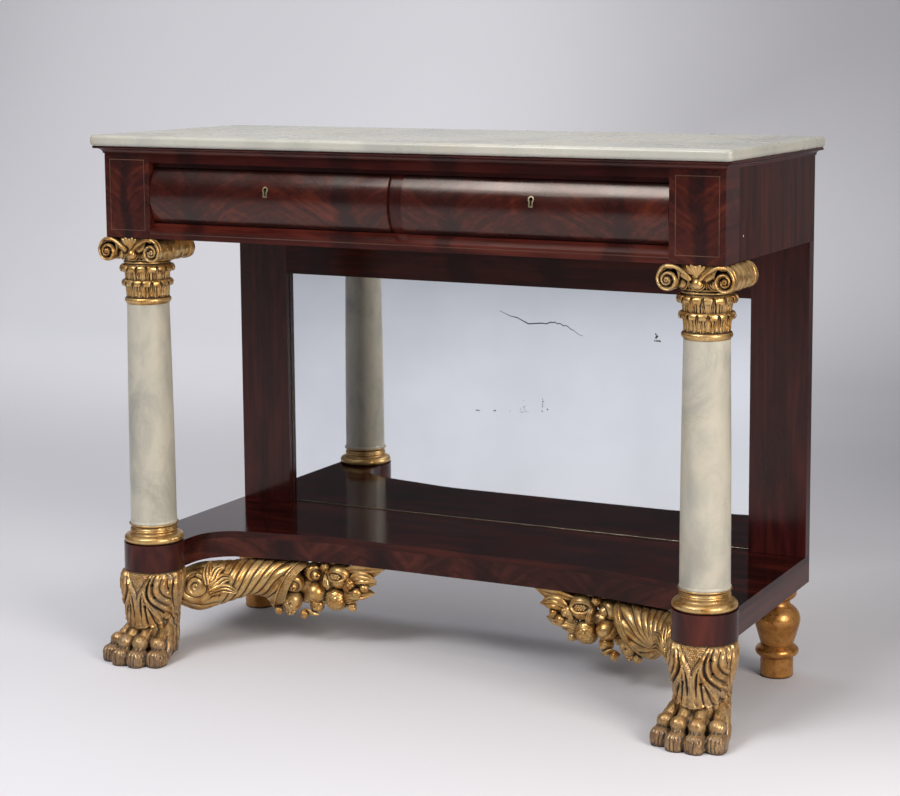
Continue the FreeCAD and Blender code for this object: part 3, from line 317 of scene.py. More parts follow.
# Marks of age in mm: spots in the silvering as (x, z, radius), then nail holes and a chip in the wood as
# (x, y, z, radius).
SILVER_Y = 234
MIRROR_SPOTS = [
    (290.0, 583.5, 1.7), (292.2, 579.6, 2.4), (290.4, 577.2, 2.0), (288.0, 571.4, 1.5), (291.2, 571.4, 1.5),
    (294.2, 571.6, 1.7), (297.6, 571.3, 1.9), (-69.6, 419.2, 1.2), (-66.6, 419.0, 1.4), (-63.0, 419.2, 1.2),
    (-33.0, 420.6, 1.3), (-29.8, 421.2, 1.6), (0.0, 422.4, 0.8), (22.0, 422.8, 0.9), (27.0, 423.2, 1.0),
    (32.0, 423.6, 0.9), (37.0, 424.0, 0.8), (30.5, 433.5, 1.1), (29.0, 444.5, 0.8), (22.0, 428.0, 0.9),
    (27.5, 431.0, 0.9), (31.0, 427.5, 0.9), (25.0, 421.5, 0.8), (67.0, 450.0, 1.0), (68.0, 445.5, 1.5),
    (66.5, 440.5, 1.2), (67.0, 436.0, 1.3), (66.0, 427.5, 1.3), (77.0, 431.5, 1.5)]
NAIL_HOLES = [(528.0, 222, 688.0, 1.6), (544.0, 222, 695.0, 1.4)]
END_CHIP = [(577, -114.3, 800.5, 1.8)]

BROWN, DARK = (56, 20, 16), (28, 10, 10)
gold = gilding("gilding", (240, 203, 137), (182, 135, 75), (90, 56, 33), 0.55)
old_gold = gilding("dark_gilding", (228, 188, 124), (164, 122, 74), (104, 84, 68), 0.8, dull=0.06, scuffed=0.062)
# Painted reflection: the glint of the mirror's bevel, drawn as thin metal lines on the glass.
bevel = metal("bevel_glint", (116, 110, 94), (76, 70, 58), 0.25, 0.45)
iron = metal("iron", (86, 80, 74), (44, 38, 34), 0.4, 0.6)

# Each material, and the nodes that have it; a pair of nodes goes by the name without its side.
FINISHES = [
    (wood("mahogany_x", "x", (84, 34, 25), (60, 21, 16), DARK, seams=FRONT_SEAMS), "cornice_front bottom_rail"),
    (wood("mahogany_y", "y", (74, 31, 22), BROWN, DARK, seed=2.0), "cornice_left cornice_right shelf_end"),
    (wood("mahogany_z", "z", (84, 32, 25), BROWN, (32, 12, 11), seed=5.0), "drawer_divider"),
    (wood("frame_mahogany", "z", (64, 24, 22), (44, 15, 15), (26, 9, 10), seed=9.0, marks=NAIL_HOLES), "pilaster"),
    (wood("end_mahogany", "z", (66, 27, 19), (43, 18, 14), (30, 13, 11), seed=11.0, shine=0.12, marks=END_CHIP,
          mark_colour=(206, 186, 160)), "case_end"),
    (wood("shelf_mahogany", "x", (64, 22, 16), (38, 12, 10), (18, 7, 6), gloss=0.10, seed=7.0, shine=0.22),
     "shelf_board"),
    (flame("shelf_face_mahogany", [(30, 13, 12), (46, 20, 17), (64, 29, 24), (80, 38, 30)], SHELF_SEAMS, seed=2.0,
           shine=0.2, sheet=200.0, half=42.0), "shelf_front_rail"),
    (flame("flame_mahogany", [(36, 13, 11), (54, 20, 15), (82, 33, 21), (110, 49, 29)], FRONT_SEAMS, shine=0.48,
           contrast=0.82, edges=FRONT_EDGES), "drawer_front"),
    (flame("block_mahogany", [(26, 10, 11), (46, 16, 14), (62, 24, 18), (82, 36, 24)], [-535, 535], seed=4.0,
           sheet=90.0, half=16.0), "corner_block"),
    (wood("pine", "x", (206, 172, 122), (184, 146, 96), (140, 104, 64), gloss=0.55, seed=3.0),
     "marble_bearers case_back dust_board drawer_runners drawer_kickers drawer_stops shelf_back_rail shelf_blocks"
     " backboard"),
    (wood("poplar", "y", (204, 184, 138), (184, 160, 112), (150, 122, 80), gloss=0.5, seed=4.0),
     "drawer_box drawer_bottom"),
    (wood("drum_wood", "z", (82, 35, 28), (54, 23, 21), (38, 17, 18), seed=15.0, stripes=0.18, shine=0.24), "drum"),
    # Painted shade: the top rail has darker colours than the other mahogany, for the shade under the cornice; the
    # mirror rail shares them.
    (wood("rail_mahogany_painted_shade", "x", (60, 20, 16), (42, 13, 12), (26, 9, 9), seams=FRONT_SEAMS, shine=0.22),
     "top_rail mirror_rail"),
    (wood("birch", "z", (212, 188, 146), (192, 164, 118), (150, 120, 80), gloss=0.45, seed=6.0), "foot_dowels"),
    (wood("holly_line", "x", (92, 66, 52), (76, 52, 42), (58, 38, 32), gloss=0.3, seed=8.0), "stringing"),
    (marble("top_marble", (180, 178, 168), (132, 134, 132), 4.6, 0.48), "marble_top"),
    (marble("shaft_marble", (184, 178, 163), (120, 123, 120), 13.0, 0.58, gloss=0.36), "column_shaft"),
    (gold, "capital_volutes capital_bell column_base cornucopia"),
    (old_gold, "paw_foot"),
    (gilding("foot_gilding", (210, 154, 84), (158, 104, 50), (88, 52, 28), dull=0.10, dirt_and_shade_reach=0.006), "rear_foot"),
    (old_mirror("mirror_plate", [(x, SILVER_Y, z, radius) for x, z, radius in MIRROR_SPOTS]), "mirror_glass"),
    (metal("brass", (188, 176, 146), (120, 104, 74), 0.3, 0.5), "lock_case lock_bolt escutcheon"),
    (iron, "column_rods backboard_screws"),
]
finish = {name: material for material, names in FINISHES for name in names.split()}

for name, node in nodes.items():
    node.data.materials.clear()
    node.data.materials.append(finish[name if name in finish else name.rsplit("_", 1)[0]])


# ---------------------------------------------------------------- carving in mesh code

def unit(vectors):
    return vectors / (np.linalg.norm(vectors, axis=-1, keepdims=True) + 1e-12)


def circle(count):
    return np.linspace(0, TAU, count, endpoint=False)


def shares(count, places, values):
    """Values given at shares of a length, at even steps along it."""
    return np.interp(np.linspace(0, 1, count), places, values)


def clamp(x):
    return np.clip(x, 0, 1)


def ease(x):
    """Part of the way from 0 to 1 with soft ends."""
    return x * x * (3 - 2 * x)


def dome(x, power=1.0):
    """1 in the middle and 0 from 1 on."""
    return clamp(1 - x ** 2) ** power


def polar(radius, angle, z):
    """Places round the column axis; the angle in degrees goes from the front to the outer side."""
    a = np.radians(angle)
    return np.stack([radius * np.sin(a), -radius * np.cos(a), z], -1)


def curve(points, count):
    """Smooth line through the points, resampled to count even steps."""
    p = np.array(points, float)
    ends = np.vstack([2 * p[0] - p[1], p, 2 * p[-1] - p[-2]])
    t = np.linspace(0, 1, 24, endpoint=False)[:, None]
    parts = []
    for i in range(len(p) - 1):
        a, b, c, d = ends[i:i + 4]
        parts.append(0.5 * (2 * b + (c - a) * t + (2 * a - 5 * b + 4 * c - d) * t ** 2
                            + (3 * b - a - 3 * c + d) * t ** 3))
    fine = np.vstack(parts + [p[-1:]])
    run = np.r_[0, np.cumsum(np.linalg.norm(np.diff(fine, axis=0), axis=1))]
    even = np.linspace(0, run[-1], count)
    return np.column_stack([np.interp(even, run, fine[:, k]) for k in range(p.shape[1])])


class Relief:
    """Height of carving in mm over plan coordinates x and y, one value per grid point."""

    def __init__(self, x, y):
        self.x, self.y = x, y
        self.h = np.zeros_like(x)

    def near(self, line):
        """Distance to a line and how far along it the nearest place is, 0 to 1."""
        best = np.full(self.x.shape, 1e9)
        along = np.zeros_like(best)
        n = len(line) - 1
        for i in range(n):
            (ax, ay), (bx, by) = line[i], line[i + 1]
            dx, dy = bx - ax, by - ay
            t = clamp(((self.x - ax) * dx + (self.y - ay) * dy) / max(dx * dx + dy * dy, 1e-9))
            d = np.hypot(self.x - ax - t * dx, self.y - ay - t * dy)
            nearer = d < best
            best = np.where(nearer, d, best)
            along = np.where(nearer, (i + t) / n, along)
        return best, along

    def stroke(self, points, widths, height, sharp, steps=14):
        """Bump that falls from its height on the line to 0 at its half width; widths are given along it."""
        d, t = self.near(curve(points, steps))
        w = np.interp(t, np.linspace(0, 1, len(widths)), widths)
        return height * dome(d / np.maximum(w, 1e-3), sharp)

    def ridge(self, points, widths, height, sharp):
        self.h = np.maximum(self.h, self.stroke(points, widths, height, sharp))

    def add(self, points, widths, height, sharp=1.0, steps=14):
        self.h = self.h + self.stroke(points, widths, height, sharp, steps)

    def soften(self, rounds):
        """Blend each height with its neighbours; the first axis is open and the second one is a ring."""
        for _ in range(rounds):
            across = (np.roll(self.h, 1, 1) + np.roll(self.h, -1, 1) + 2 * self.h) / 4
            up = np.vstack([across[:1], across[:-1]])
            down = np.vstack([across[1:], across[-1:]])
            self.h = (up + down + 2 * across) / 4

    def hole(self, x, y, radius, depth):
        d = np.hypot(self.x - x, self.y - y)
        self.h = self.h - depth * clamp(1 - (d / radius) ** 4)


class Shells:
    """Closed shells of quads gathered into one mesh; coordinates in mm."""

    def __init__(self):
        self.verts, self.quads, self.count = [], [], 0

    def add(self, verts, quads):
        a, b, c, d = (verts[quads[:, k]] for k in range(4))
        inside_out = (a * (np.cross(b, c) + np.cross(c, d))).sum() < 0
        self.verts.append(verts)
        self.quads.append((quads[:, ::-1] if inside_out else quads) + self.count)
        self.count += len(verts)

    def faces(self):
        """Faces of all shells, where a quad with a repeated corner is a triangle."""
        return [tuple(dict.fromkeys(row)) for block in self.quads for row in block.tolist()]

    def grid(self, points):
        """Shell from rows of rings: points[row, around, xyz]; the two end rings are filled in."""
        rows, around = points.shape[:2]
        here = np.arange(rows * around).reshape(rows, around)
        ahead = np.roll(here, -1, 1)
        first, last = np.full(around, rows * around), np.full(around, rows * around + 1)
        quads = [np.stack([here[:-1], ahead[:-1], ahead[1:], here[1:]], -1).reshape(-1, 4),
                 np.stack([first, ahead[0], here[0], first], -1), np.stack([last, here[-1], ahead[-1], last], -1)]
        self.add(np.vstack([points.reshape(-1, 3), points[0].mean(0), points[-1].mean(0)]), np.vstack(quads))

    def tube(self, path, radii, around=16, flat=1.0, up=(0, 0, 1)):
        """Tube with rounded ends along a path of 3-D points; radii has one value per point."""
        path, radii = rounded_ends(np.asarray(path, float), np.asarray(radii, float))
        way = unit(np.gradient(path, axis=0))
        across = unit(np.cross(up, way))
        above = np.cross(way, across)
        turn = circle(around)[None, :, None]
        ring = across[:, None] * np.cos(turn) + above[:, None] * np.sin(turn) * flat
        self.grid(path[:, None] + ring * radii[:, None, None])

    def turned(self, profile, around):
        """Turn (r, z) points about the column axis."""
        r, z = np.array(profile, float).T[..., None]
        turn = circle(around)
        self.grid(np.stack([r * np.cos(turn), r * np.sin(turn), z + 0 * turn], -1))

    def ball(self, centre, radii, rings, around, shape=None, axes=np.eye(3), edge=0.06, place=np.array):
        """Ellipsoid along three axes, the last from pole to pole.

        shape(way, turn, tilt) gives a factor for each direction, and place moves the points at the end.
        """
        tilt, turn = np.meshgrid(np.linspace(edge, math.pi - edge, rings), circle(around), indexing="ij")
        way = np.stack([np.sin(tilt) * np.cos(turn), np.sin(tilt) * np.sin(turn), np.cos(tilt)], -1)
        own = way * radii
        if shape:
            own = own * shape(way, turn, tilt).reshape(rings, around, -1)
        self.grid(place(centre + own[..., :1] * axes[0] + own[..., 1:2] * axes[1] + own[..., 2:] * axes[2]))


def rounded_ends(path, radii):
    """Add short caps that close a tube to nearly nothing at both ends."""
    a = np.radians([80, 55, 28])
    starts, ends = ((path[end] + unit(path[end] - path[inner]) * (radii[end] * np.sin(a))[:, None],
                     radii[end] * np.cos(a)) for end, inner in ((0, 1), (-1, -2)))
    return (np.vstack([starts[0], path, ends[0][::-1]]),
            np.concatenate([starts[1], radii, ends[1][::-1]]))


# How the depth of a hollow is measured: rounds of smoothing, and the depth in m that counts as 1.
HOLLOW_ROUNDS, HOLLOW_REACH = 14, 0.0007


def hollows(verts, edges, normals):
    """How deep each point lies below its smoothed surroundings, 0 to 1."""
    n = len(verts)
    a, b = edges.T
    degree = np.maximum(np.bincount(a, minlength=n) + np.bincount(b, minlength=n), 1)
    soft = verts
    for _ in range(HOLLOW_ROUNDS):
        soft = np.stack([np.bincount(a, soft[b, k], n) + np.bincount(b, soft[a, k], n) for k in range(3)], -1)
        soft = soft / degree[:, None]
    return clamp(((soft - verts) * normals).sum(1) / HOLLOW_REACH)


def add_object(name, verts, faces, material=None):
    mesh = bpy.data.meshes.new(name)
    mesh.from_pydata(verts, [], faces)
    if material:
        mesh.materials.append(material)
    made = bpy.data.objects.new(name, mesh)
    bpy.context.scene.collection.objects.link(made)
    return made


def read(items, key, width, kind=np.float32):
    """A property of all items of a mesh, one row of numbers for each."""
    out = np.empty(len(items) * width, kind)
    items.foreach_get(key, out)
    return out.reshape(-1, width)


def carved(name, shells, material, node):
    """Make the right-hand piece and its mirror image, each in place of its CAD node if there is one."""
    verts = np.vstack(shells.verts) * MM + np.array([COLUMN_X, COLUMN_Y, 0]) * MM
    faces = shells.faces()
    for side, sign in (("right", 1), ("left", -1)):
        made = add_object(name + "_" + side, (verts * (sign, 1, 1)).tolist(), [row[::sign] for row in faces], material)
        mesh = made.data
        mesh.update()
        # Depth of each point below its surroundings, by which the gilding paints dirt and shade into the hollows.
        depth = hollows(read(mesh.vertices, "co", 3).astype(float), read(mesh.edges, "vertices", 2, np.int32),
                        read(mesh.vertices, "normal", 3))
        mesh.attributes.new("cavity", "FLOAT", "POINT").data.foreach_set("value", depth.astype(np.float32))
        mesh.polygons.foreach_set("use_smooth", np.ones(len(mesh.polygons), bool))
        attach(made, "table")
        if node:
            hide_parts(node + "_" + side)


# ---------------------------------------------------------------- legs and paws
# Local frame: x outwards and y back from the column axis, z up from the floor, all in mm.
# Angles go round the leg from the front, towards the outer side, in degrees.

LEG_ANGLES = [0, 30, 52, 69, 90, 111, 128, 180]
LEG_LEVELS = [58, 64, 84, 98, 112, 126, 138, 150, 162]
LEG_RADII = [
    [54, 53, 48, 45, 42, 39, 38, 36],
    [55, 54, 50, 46, 43, 40, 39, 38],
    [57, 56, 52, 49, 46, 42, 41, 40],
    [58, 58, 55, 52, 49, 46, 44, 42],
    [59, 61, 58, 55, 52, 50, 48, 45],
    [59, 62, 61, 58, 55, 52, 50, 48],
    [58, 61, 62, 59, 56, 54, 52, 50],
    [56, 58, 60, 57, 55, 54, 53, 50],
    [54, 54, 54, 53, 53, 52, 52, 51],
]
# Lower edge of the leaves: first angle, last angle and lowest level of each lobe.
LEAF_LOBES = [(-22, 22, 60.0), (22, 36, 62.5), (36, 50, 68.0), (50, 66, 76.0), (66, 88, 82.0), (88, 116, 84.5),
              (116, 148, 86.5), (148, 212, 86.0)]
LOBE_RISE = 4.6
LEG_MM_PER_DEGREE = 60 * math.pi / 180


def smooth_table(angle, z, angles, levels, values):
    """Look up a value in a table of levels by angles, with soft joins between its cells."""
    def place(value, knots):
        at = np.interp(value, knots, np.arange(len(knots)))
        i = np.clip(np.floor(at).astype(int), 0, len(knots) - 2)
        return i, ease(at - i)

    table = np.array(values, float)
    col, u = place(np.abs(angle), angles)
    row, v = place(z, levels)
    low = table[row, col] * (1 - u) + table[row, col + 1] * u
    high = table[row + 1, col] * (1 - u) + table[row + 1, col + 1] * u
    return low * (1 - v) + high * v


def leaf_edge(angle):
    """Height of the scalloped lower edge of the leaves, and the same without its lobes, by angle from the front."""
    a = np.abs(angle)
    edge = np.zeros(a.shape)
    for first, last, lowest in LEAF_LOBES:
        t = np.abs(a - (first + last) / 2) / ((last - first) / 2)
        edge = np.where(t <= 1, lowest + LOBE_RISE * t ** 2.6, edge)
    trend = np.interp(a, [(first + last) / 2 for first, last, _ in LEAF_LOBES], [lobe[2] for lobe in LEAF_LOBES])
    return edge + 0.9 * np.abs(np.sin(np.radians(a * 13.5))), trend


# Punched field at the top of the leg: levels of its rows of bosses, their pitch and height.
FIELD_TOP, FIELD_BOTTOM, PITCH, BOSS = 158, 118, 3.8, 1.7


def field_half(level):
    """Half width in mm of the punched field at a level."""
    return np.interp(level, [116, 126, 140, 150, 160], [0.5, 5.5, 13.0, 20.0, 28.0])


def punched(relief):
    """Rows of small round bosses inside the field, each slightly out of its place."""
    row, z, stray = 0, FIELD_TOP, 0.07 * PITCH
    while z > FIELD_BOTTOM:
        half = float(field_half(z)) - 1.0
        n = int(half // PITCH) + 1
        for i in range(-n, n + 1):
            x = i * PITCH + (PITCH / 2 if row % 2 else 0.0)
            if abs(x) <= half:
                d2 = ((relief.x - x - stray * math.sin(7.1 * i + 3.7 * row)) ** 2
                      + (relief.y - z - stray * math.sin(4.3 * i + 9.1 * row)) ** 2)
                size = PITCH * (0.43 + 0.04 * math.sin(5.9 * i + 2.3 * row))
                relief.h += BOSS * clamp(1 - d2 / size ** 2) ** 0.7
        z -= PITCH * 0.86
        row += 1


# Carving of the leaves, as places (angle, level) along a line, half widths and height or depth. Both sides of
# the leg have the same.
LEAF_RIDGES = [
    # Roll along the punched field, which joins its mirror image into the middle fold.
    ([(33, 159), (25, 148), (16, 136), (9.5, 127), (5.6, 118), (4, 108), (3.8, 96)], (2.6, 4, 4.8, 5.2, 4), 5.6),
    ([(0, 112), (0, 98), (1, 80), (2, 61)], (2, 6.4, 8.6, 8), 5.4),
    # Broad lobe beside it, and the one past the drilled slit.
    ([(18, 133), (13, 122), (11.4, 110), (12, 94), (13.5, 78), (16, 61)], (2.6, 5.4, 7.2, 8.6, 8), 5.2),
    ([(18, 97), (22, 84), (24.5, 74), (27, 64)], (2, 5.6, 7, 5), 5.4),
    # Long fold that sweeps outwards to the pointed lobe.
    ([(14, 128), (18, 114), (25, 101), (34, 89), (41, 78), (44, 70)], (3, 5.2, 8.2, 8.4, 6), 6.8),
    # Curled lobe: its edge comes down from the drum and sweeps out and back.
    ([(34, 159), (27, 148), (24.5, 136), (25, 122), (31, 110.5), (41, 102.5), (53, 96), (64, 90)],
     (3.2, 4.4, 5.2, 6, 6.4, 5.4), 7.6),
    # Broad fluted face inside the curl.
    ([(42, 158), (36.5, 146), (35, 134), (39, 122), (49, 113), (64, 106)], (4.4, 6.8, 7.4, 7, 5.4), 6),
    ([(54, 157), (50, 146), (47, 136), (52, 125), (66, 116)], (4.4, 7.4, 7.8, 6), 5.8),
    # Rolled shoulder of the outer leaf and its lobes.
    ([(61, 160), (65, 150), (62, 140)], (4.6, 7, 4), 6.8),
    ([(76, 160), (79, 146), (75, 130), (78, 112), (84, 96)], (5.6, 9.4, 10, 9, 5), 5.6),
    ([(97, 159), (99, 142), (96, 124), (100, 106), (105, 94)], (5.6, 10.4, 11, 10, 6), 5.4),
    ([(121, 159), (122, 140), (121, 122), (125, 104), (130, 94)], (5.6, 10.8, 11.4, 10.4, 6), 5.2),
    ([(148, 159), (149, 138), (149, 118), (152, 98)], (5.8, 11.4, 11.4, 8), 5.2),
    ([(178, 158), (178, 130), (178, 98)], (6, 12, 9), 5.2),
]
LEAF_GROOVES = [
    # Dark gaps beside the folds.
    ([(10, 119), (8.2, 108), (7.4, 94), (7.8, 80)], (0.6, 1.9, 1.6, 0.5), 5.6),
    ([(15.4, 101), (16.4, 90), (17.8, 78), (20, 68)], (1.9, 1.6, 1.2, 0.4), 5.6),
    ([(21.5, 99), (26, 89), (31, 77), (35, 68)], (0.5, 1.7, 1.3, 0.5), 4.6),
    ([(27, 152), (21.6, 139), (20.6, 125), (23.6, 113), (31, 103.5), (41, 95.5), (52, 87)],
     (0.8, 2, 2.4, 2, 1.8, 0.9), 6.6),
    ([(32, 150), (29.8, 138), (31, 124), (37, 113.5), (48, 105.5), (62, 99)], (0.6, 1.3, 1.2, 1, 0.5), 3),
    ([(37, 149), (36, 138), (38, 127), (46, 117), (60, 109)], (0.4, 0.9, 0.9, 0.5), 1.6),
    ([(47, 153), (43, 142), (42.5, 131), (50, 119.6), (65, 111.5)], (0.6, 1.3, 1.3, 0.6), 3),
    ([(58, 151), (56, 140), (60, 127)], (0.6, 1.4, 0.6), 3),
    ([(69, 155), (68.5, 140), (66, 124), (70, 108), (76, 94)], (0.8, 1.8, 2, 1.8, 0.8), 4.6),
    # Veins down the middle of the lobes.
    ([(3, 100), (3.4, 84), (5.6, 68)], (0.4, 1, 0.5), 1.2),
    ([(12.8, 106), (13.6, 86), (15.2, 70)], (0.5, 1.1, 0.6), 1.3),
    ([(20, 92), (23.4, 80), (26, 68)], (0.4, 0.9, 0.4), 1.1),
    ([(21, 108), (29, 95), (38, 82)], (0.5, 1.2, 0.7), 1.6),
    ([(20, 112), (26, 101), (34, 91)], (0.4, 0.8, 0.4), 1),
    ([(74, 152), (71.5, 132), (76, 108)], (0.5, 1, 0.5), 1.3),
    ([(82, 152), (79.5, 132), (84, 106)], (0.5, 1, 0.5), 1.3),
    ([(95, 152), (93, 130), (99, 104)], (0.5, 1, 0.5), 1.3),
    ([(102, 150), (100, 130), (106, 104)], (0.5, 1, 0.5), 1.3),
    ([(118, 152), (118, 128), (124, 102)], (0.5, 1.1, 0.5), 1.4),
    ([(126, 150), (125, 128), (130, 104)], (0.5, 1.1, 0.5), 1.2),
    ([(148, 150), (150, 124), (153, 102)], (0.5, 1.1, 0.5), 1.4),
    ([(165, 152), (165, 126), (165, 98)], (0.8, 1.9, 0.8), 3.6),
]
# Drilled eyes: angle, level, radius.
LEAF_EYES = [(15.2, 101.5, 2.2), (30.0, 140.5, 2.5), (33.4, 118.5, 2.1), (58.0, 133.0, 1.5)]
EYE_DEPTH = 7.0
LEAF_FACE, LEAF_SEAT = 3.4, 3.8    # how far the leaves' ground stands out, and how deep it is seated in the solid
# Rolled lip under the leaves, as steps inwards and upwards from their lower edge, and where the core closes.
LEAF_LIP = [(0.7, -1.1), (2.2, -1.5), (3.8, -0.4), (5.4, 2.6), (12.0, 8.0), (22.0, 10.0)]
CORE_INSET, CORE_LEVEL = 28, 98


def leg_wrap(shells):
    """Leaves that wrap the leg from under the drum to their scalloped lower edge."""
    angle, v = np.meshgrid(np.linspace(-180, 180, 560, endpoint=False), np.linspace(0, 1, 170))
    edge, trend = leaf_edge(angle)
    z = SHELF_UNDERSIDE - v * (SHELF_UNDERSIDE - trend) + (edge - trend) * v ** 9
    r = Relief(angle * LEG_MM_PER_DEGREE, z)
    r.h = LEAF_FACE * clamp((np.abs(r.x) - field_half(z)) / 2.2)
    for side in (LEG_MM_PER_DEGREE, -LEG_MM_PER_DEGREE):
        for points, widths, height in LEAF_RIDGES:
            r.ridge([(side * a, level) for a, level in points], widths, height, 0.75)
        for points, widths, depth in LEAF_GROOVES:
            r.add([(side * a, level) for a, level in points], widths, -depth, 0.8)
    for a, level, radius in LEAF_EYES:
        for side in (LEG_MM_PER_DEGREE, -LEG_MM_PER_DEGREE):
            r.hole(side * a, level, radius, EYE_DEPTH)
    punched(r)
    # Uneven ground from the carver's tool.
    r.h += 0.35 * np.sin(r.x * 0.43 + 2.0 * np.sin(r.y * 0.09)) * np.sin(r.y * 0.31 + 1.7 * np.sin(r.x * 0.12))
    r.soften(2)
    fade = clamp((SHELF_UNDERSIDE - z) / 4)
    rim = 1.8 * clamp(1 - (z - edge) / 5.0) ** 1.5
    points = polar(smooth_table(angle, z, LEG_ANGLES, LEG_LEVELS, LEG_RADII) - LEAF_SEAT + r.h * fade + rim, angle, z)
    low = points[-1]
    towards_axis = unit(low * (-1, -1, 0))
    lip = [low + towards_axis * shift + (0, 0, lift) for shift, lift in LEAF_LIP]
    core = low + towards_axis * CORE_INSET
    core[:, 2] = CORE_LEVEL
    shells.grid(np.concatenate([points, lip, [core]]))


ANKLE_ANGLES = [0, 40, 69, 90, 111, 140, 180]
ANKLE_LEVELS = [0, 12, 26, 40, 54, 66, 80, 104]
ANKLE_RADII = [
    [50, 44, 38, 33, 29, 25, 24],
    [54, 46, 41, 37, 33, 28, 26],
    [54, 47, 43, 39, 35, 30, 28],
    [50, 46, 44, 40, 36, 33, 30],
    [45, 45, 44, 40, 36, 35, 33],
    [43, 44, 44, 40, 37, 36, 35],
    [43, 44, 44, 41, 38, 37, 36],
    [43, 44, 44, 42, 40, 39, 38],
]
# Rows of fur locks: level, first and last angle. Every second row starts half a lock further on.
FUR_ROWS = [(82, 58, 176), (66, 60, 176), (50, 62, 176), (34, 70, 176), (17, 80, 176)]
LOCK_STEP, ROW_SHIFT = 17, 8
ANKLE_MM_PER_DEGREE = 42 * math.pi / 180


def ankle(shells):
    """Leg below the leaves: narrow, with locks of fur down its sides and back."""
    angle, z = np.meshgrid(np.linspace(-180, 180, 320, endpoint=False), np.linspace(104, 0.4, 104))
    mm = ANKLE_MM_PER_DEGREE
    r = Relief(angle * mm, z)
    for i, (row_z, first, last) in enumerate(FUR_ROWS):
        for a in range(first + ROW_SHIFT * (i % 2), last + 1, LOCK_STEP):
            for side in (1, -1):
                x = side * a * mm
                r.ridge([(x, row_z + 9), (x + side * 1.2, row_z), (x + side * 4, row_z - 10)], (3.4, 6.4, 5.6, 1.0),
                        6.0, 0.8)
                r.add([(x, row_z + 4), (x + side * 3, row_z - 6)], (0.5, 1.1, 0.4), -1.8)
                r.add([(x + side * 3, row_z + 4), (x + side * 5.4, row_z - 4)], (0.4, 0.9, 0.4), -1.4)
    for side in (mm, -mm):
        r.ridge([(side * 44, 78), (side * 46, 62), (side * 48, 48)], (3.0, 5.4, 3.0), 4.5, 0.8)
    radius = smooth_table(angle, z, ANKLE_ANGLES, ANKLE_LEVELS, ANKLE_RADII) + r.h * clamp(z / 5)
    shells.grid(polar(radius, angle, z))


def boxy(way, power):
    """Factor that swells a ball towards a rounded box."""
    return (np.abs(way) ** power).sum(-1) ** (-1 / power)


def melted(shells, voxel, rounds):
    """Fuse closed shells into one smooth skin; gives its points, normals and quads."""
    made = add_object("melt", np.vstack(shells.verts).tolist(), shells.faces())
    remesh = made.modifiers.new("skin", "REMESH")
    remesh.mode = "VOXEL"
    remesh.voxel_size = voxel
    smooth = made.modifiers.new("soft", "SMOOTH")
    smooth.factor = 0.5
    smooth.iterations = rounds
    skin = bpy.data.meshes.new_from_object(made.evaluated_get(bpy.context.evaluated_depsgraph_get()))
    points, normals = (read(skin.vertices, key, 3).astype(float) for key in ("co", "normal"))
    quads = [tuple(polygon.vertices) for polygon in skin.polygons]
    for mesh in (made.data, skin):
        bpy.data.meshes.remove(mesh)
    return points, normals, np.array([row if len(row) == 4 else (*row, row[-1]) for row in quads])


# Toes: place of the pad and how much the knuckle is lifted.
TOES = [(-46.5, -67.0, -2.0), (-15.8, -81.2, 0.5), (16.6, -81.0, 0.0), (47.0, -66.0, -2.0)]
PAD, PAD_Z = (16.6, 19.0, 17.5), 12.0
# Folds cut down the front of each pad: angle, width in degrees and depth in mm.
PAD_FOLDS = [(-84, 8, 1.3), (-60, 5, 1.7), (-36, 5, 2.4), (-14, 3.5, 1.7), (11, 3.5, 1.9), (33, 5, 2.5), (58, 5, 1.6),
             (85, 8, 1.3)]
SKIN_VOXEL, SKIN_ROUNDS = 1.15, 5


def toe(shells, x, y, rise):
    """One toe: a tendon from under the leaves, a round knuckle, and a blunt pad on the floor."""
    line = curve([(x * 0.56, y + 66, 66 + rise), (x * 0.72, y + 46, 57 + rise), (x * 0.86, y + 28, 47 + rise),
                  (x * 0.93, y + 15, 35 + rise)], 20)
    shells.tube(line, shares(20, [0, 0.35, 0.6, 1], [11.6, 9.8, 9.2, 10.0]), 28)
    shells.ball((x * 0.93, y + 10, 37.0 + rise), (14.2, 13.6, 13.6), 26, 34)
    shells.tube(curve([(x * 0.95, y + 8, 28 + rise), (x, y + 2, 16)], 6), np.full(6, 12.0), 24)
    shells.ball((x, y, PAD_Z), PAD, 40, 60, lambda way, turn, tilt: boxy(way, 2.9))


def toe_folds(points):
    """Depth of the folds and dimples cut into the toes at each point."""
    x, y, z = points.T
    cut = np.zeros(len(points))
    for toe_x, toe_y, _ in TOES:
        dx, dy = x - toe_x, y - toe_y
        turn = np.degrees(np.arctan2(dx, -dy))
        on_pad = clamp((19.5 - np.hypot(dx, dy * 0.9)) / 2.5) * clamp((34 - z) / 5)
        front = on_pad * clamp((118 - np.abs(turn)) / 25) * clamp(z / 4)
        lean = 1.0 + 0.22 * np.sin(z * 0.16 + toe_x) + 0.05 * np.sin(z * 0.7 + toe_y)
        for at, wide, deep in PAD_FOLDS:
            centre = at * lean + 4 * math.sin(toe_x * 0.7 + at)
            reach = clamp((31 - 0.07 * abs(at) - z) / 8)
            cut = np.maximum(cut, deep * front * reach * np.exp(-((turn - centre) / wide) ** 2))
    return cut


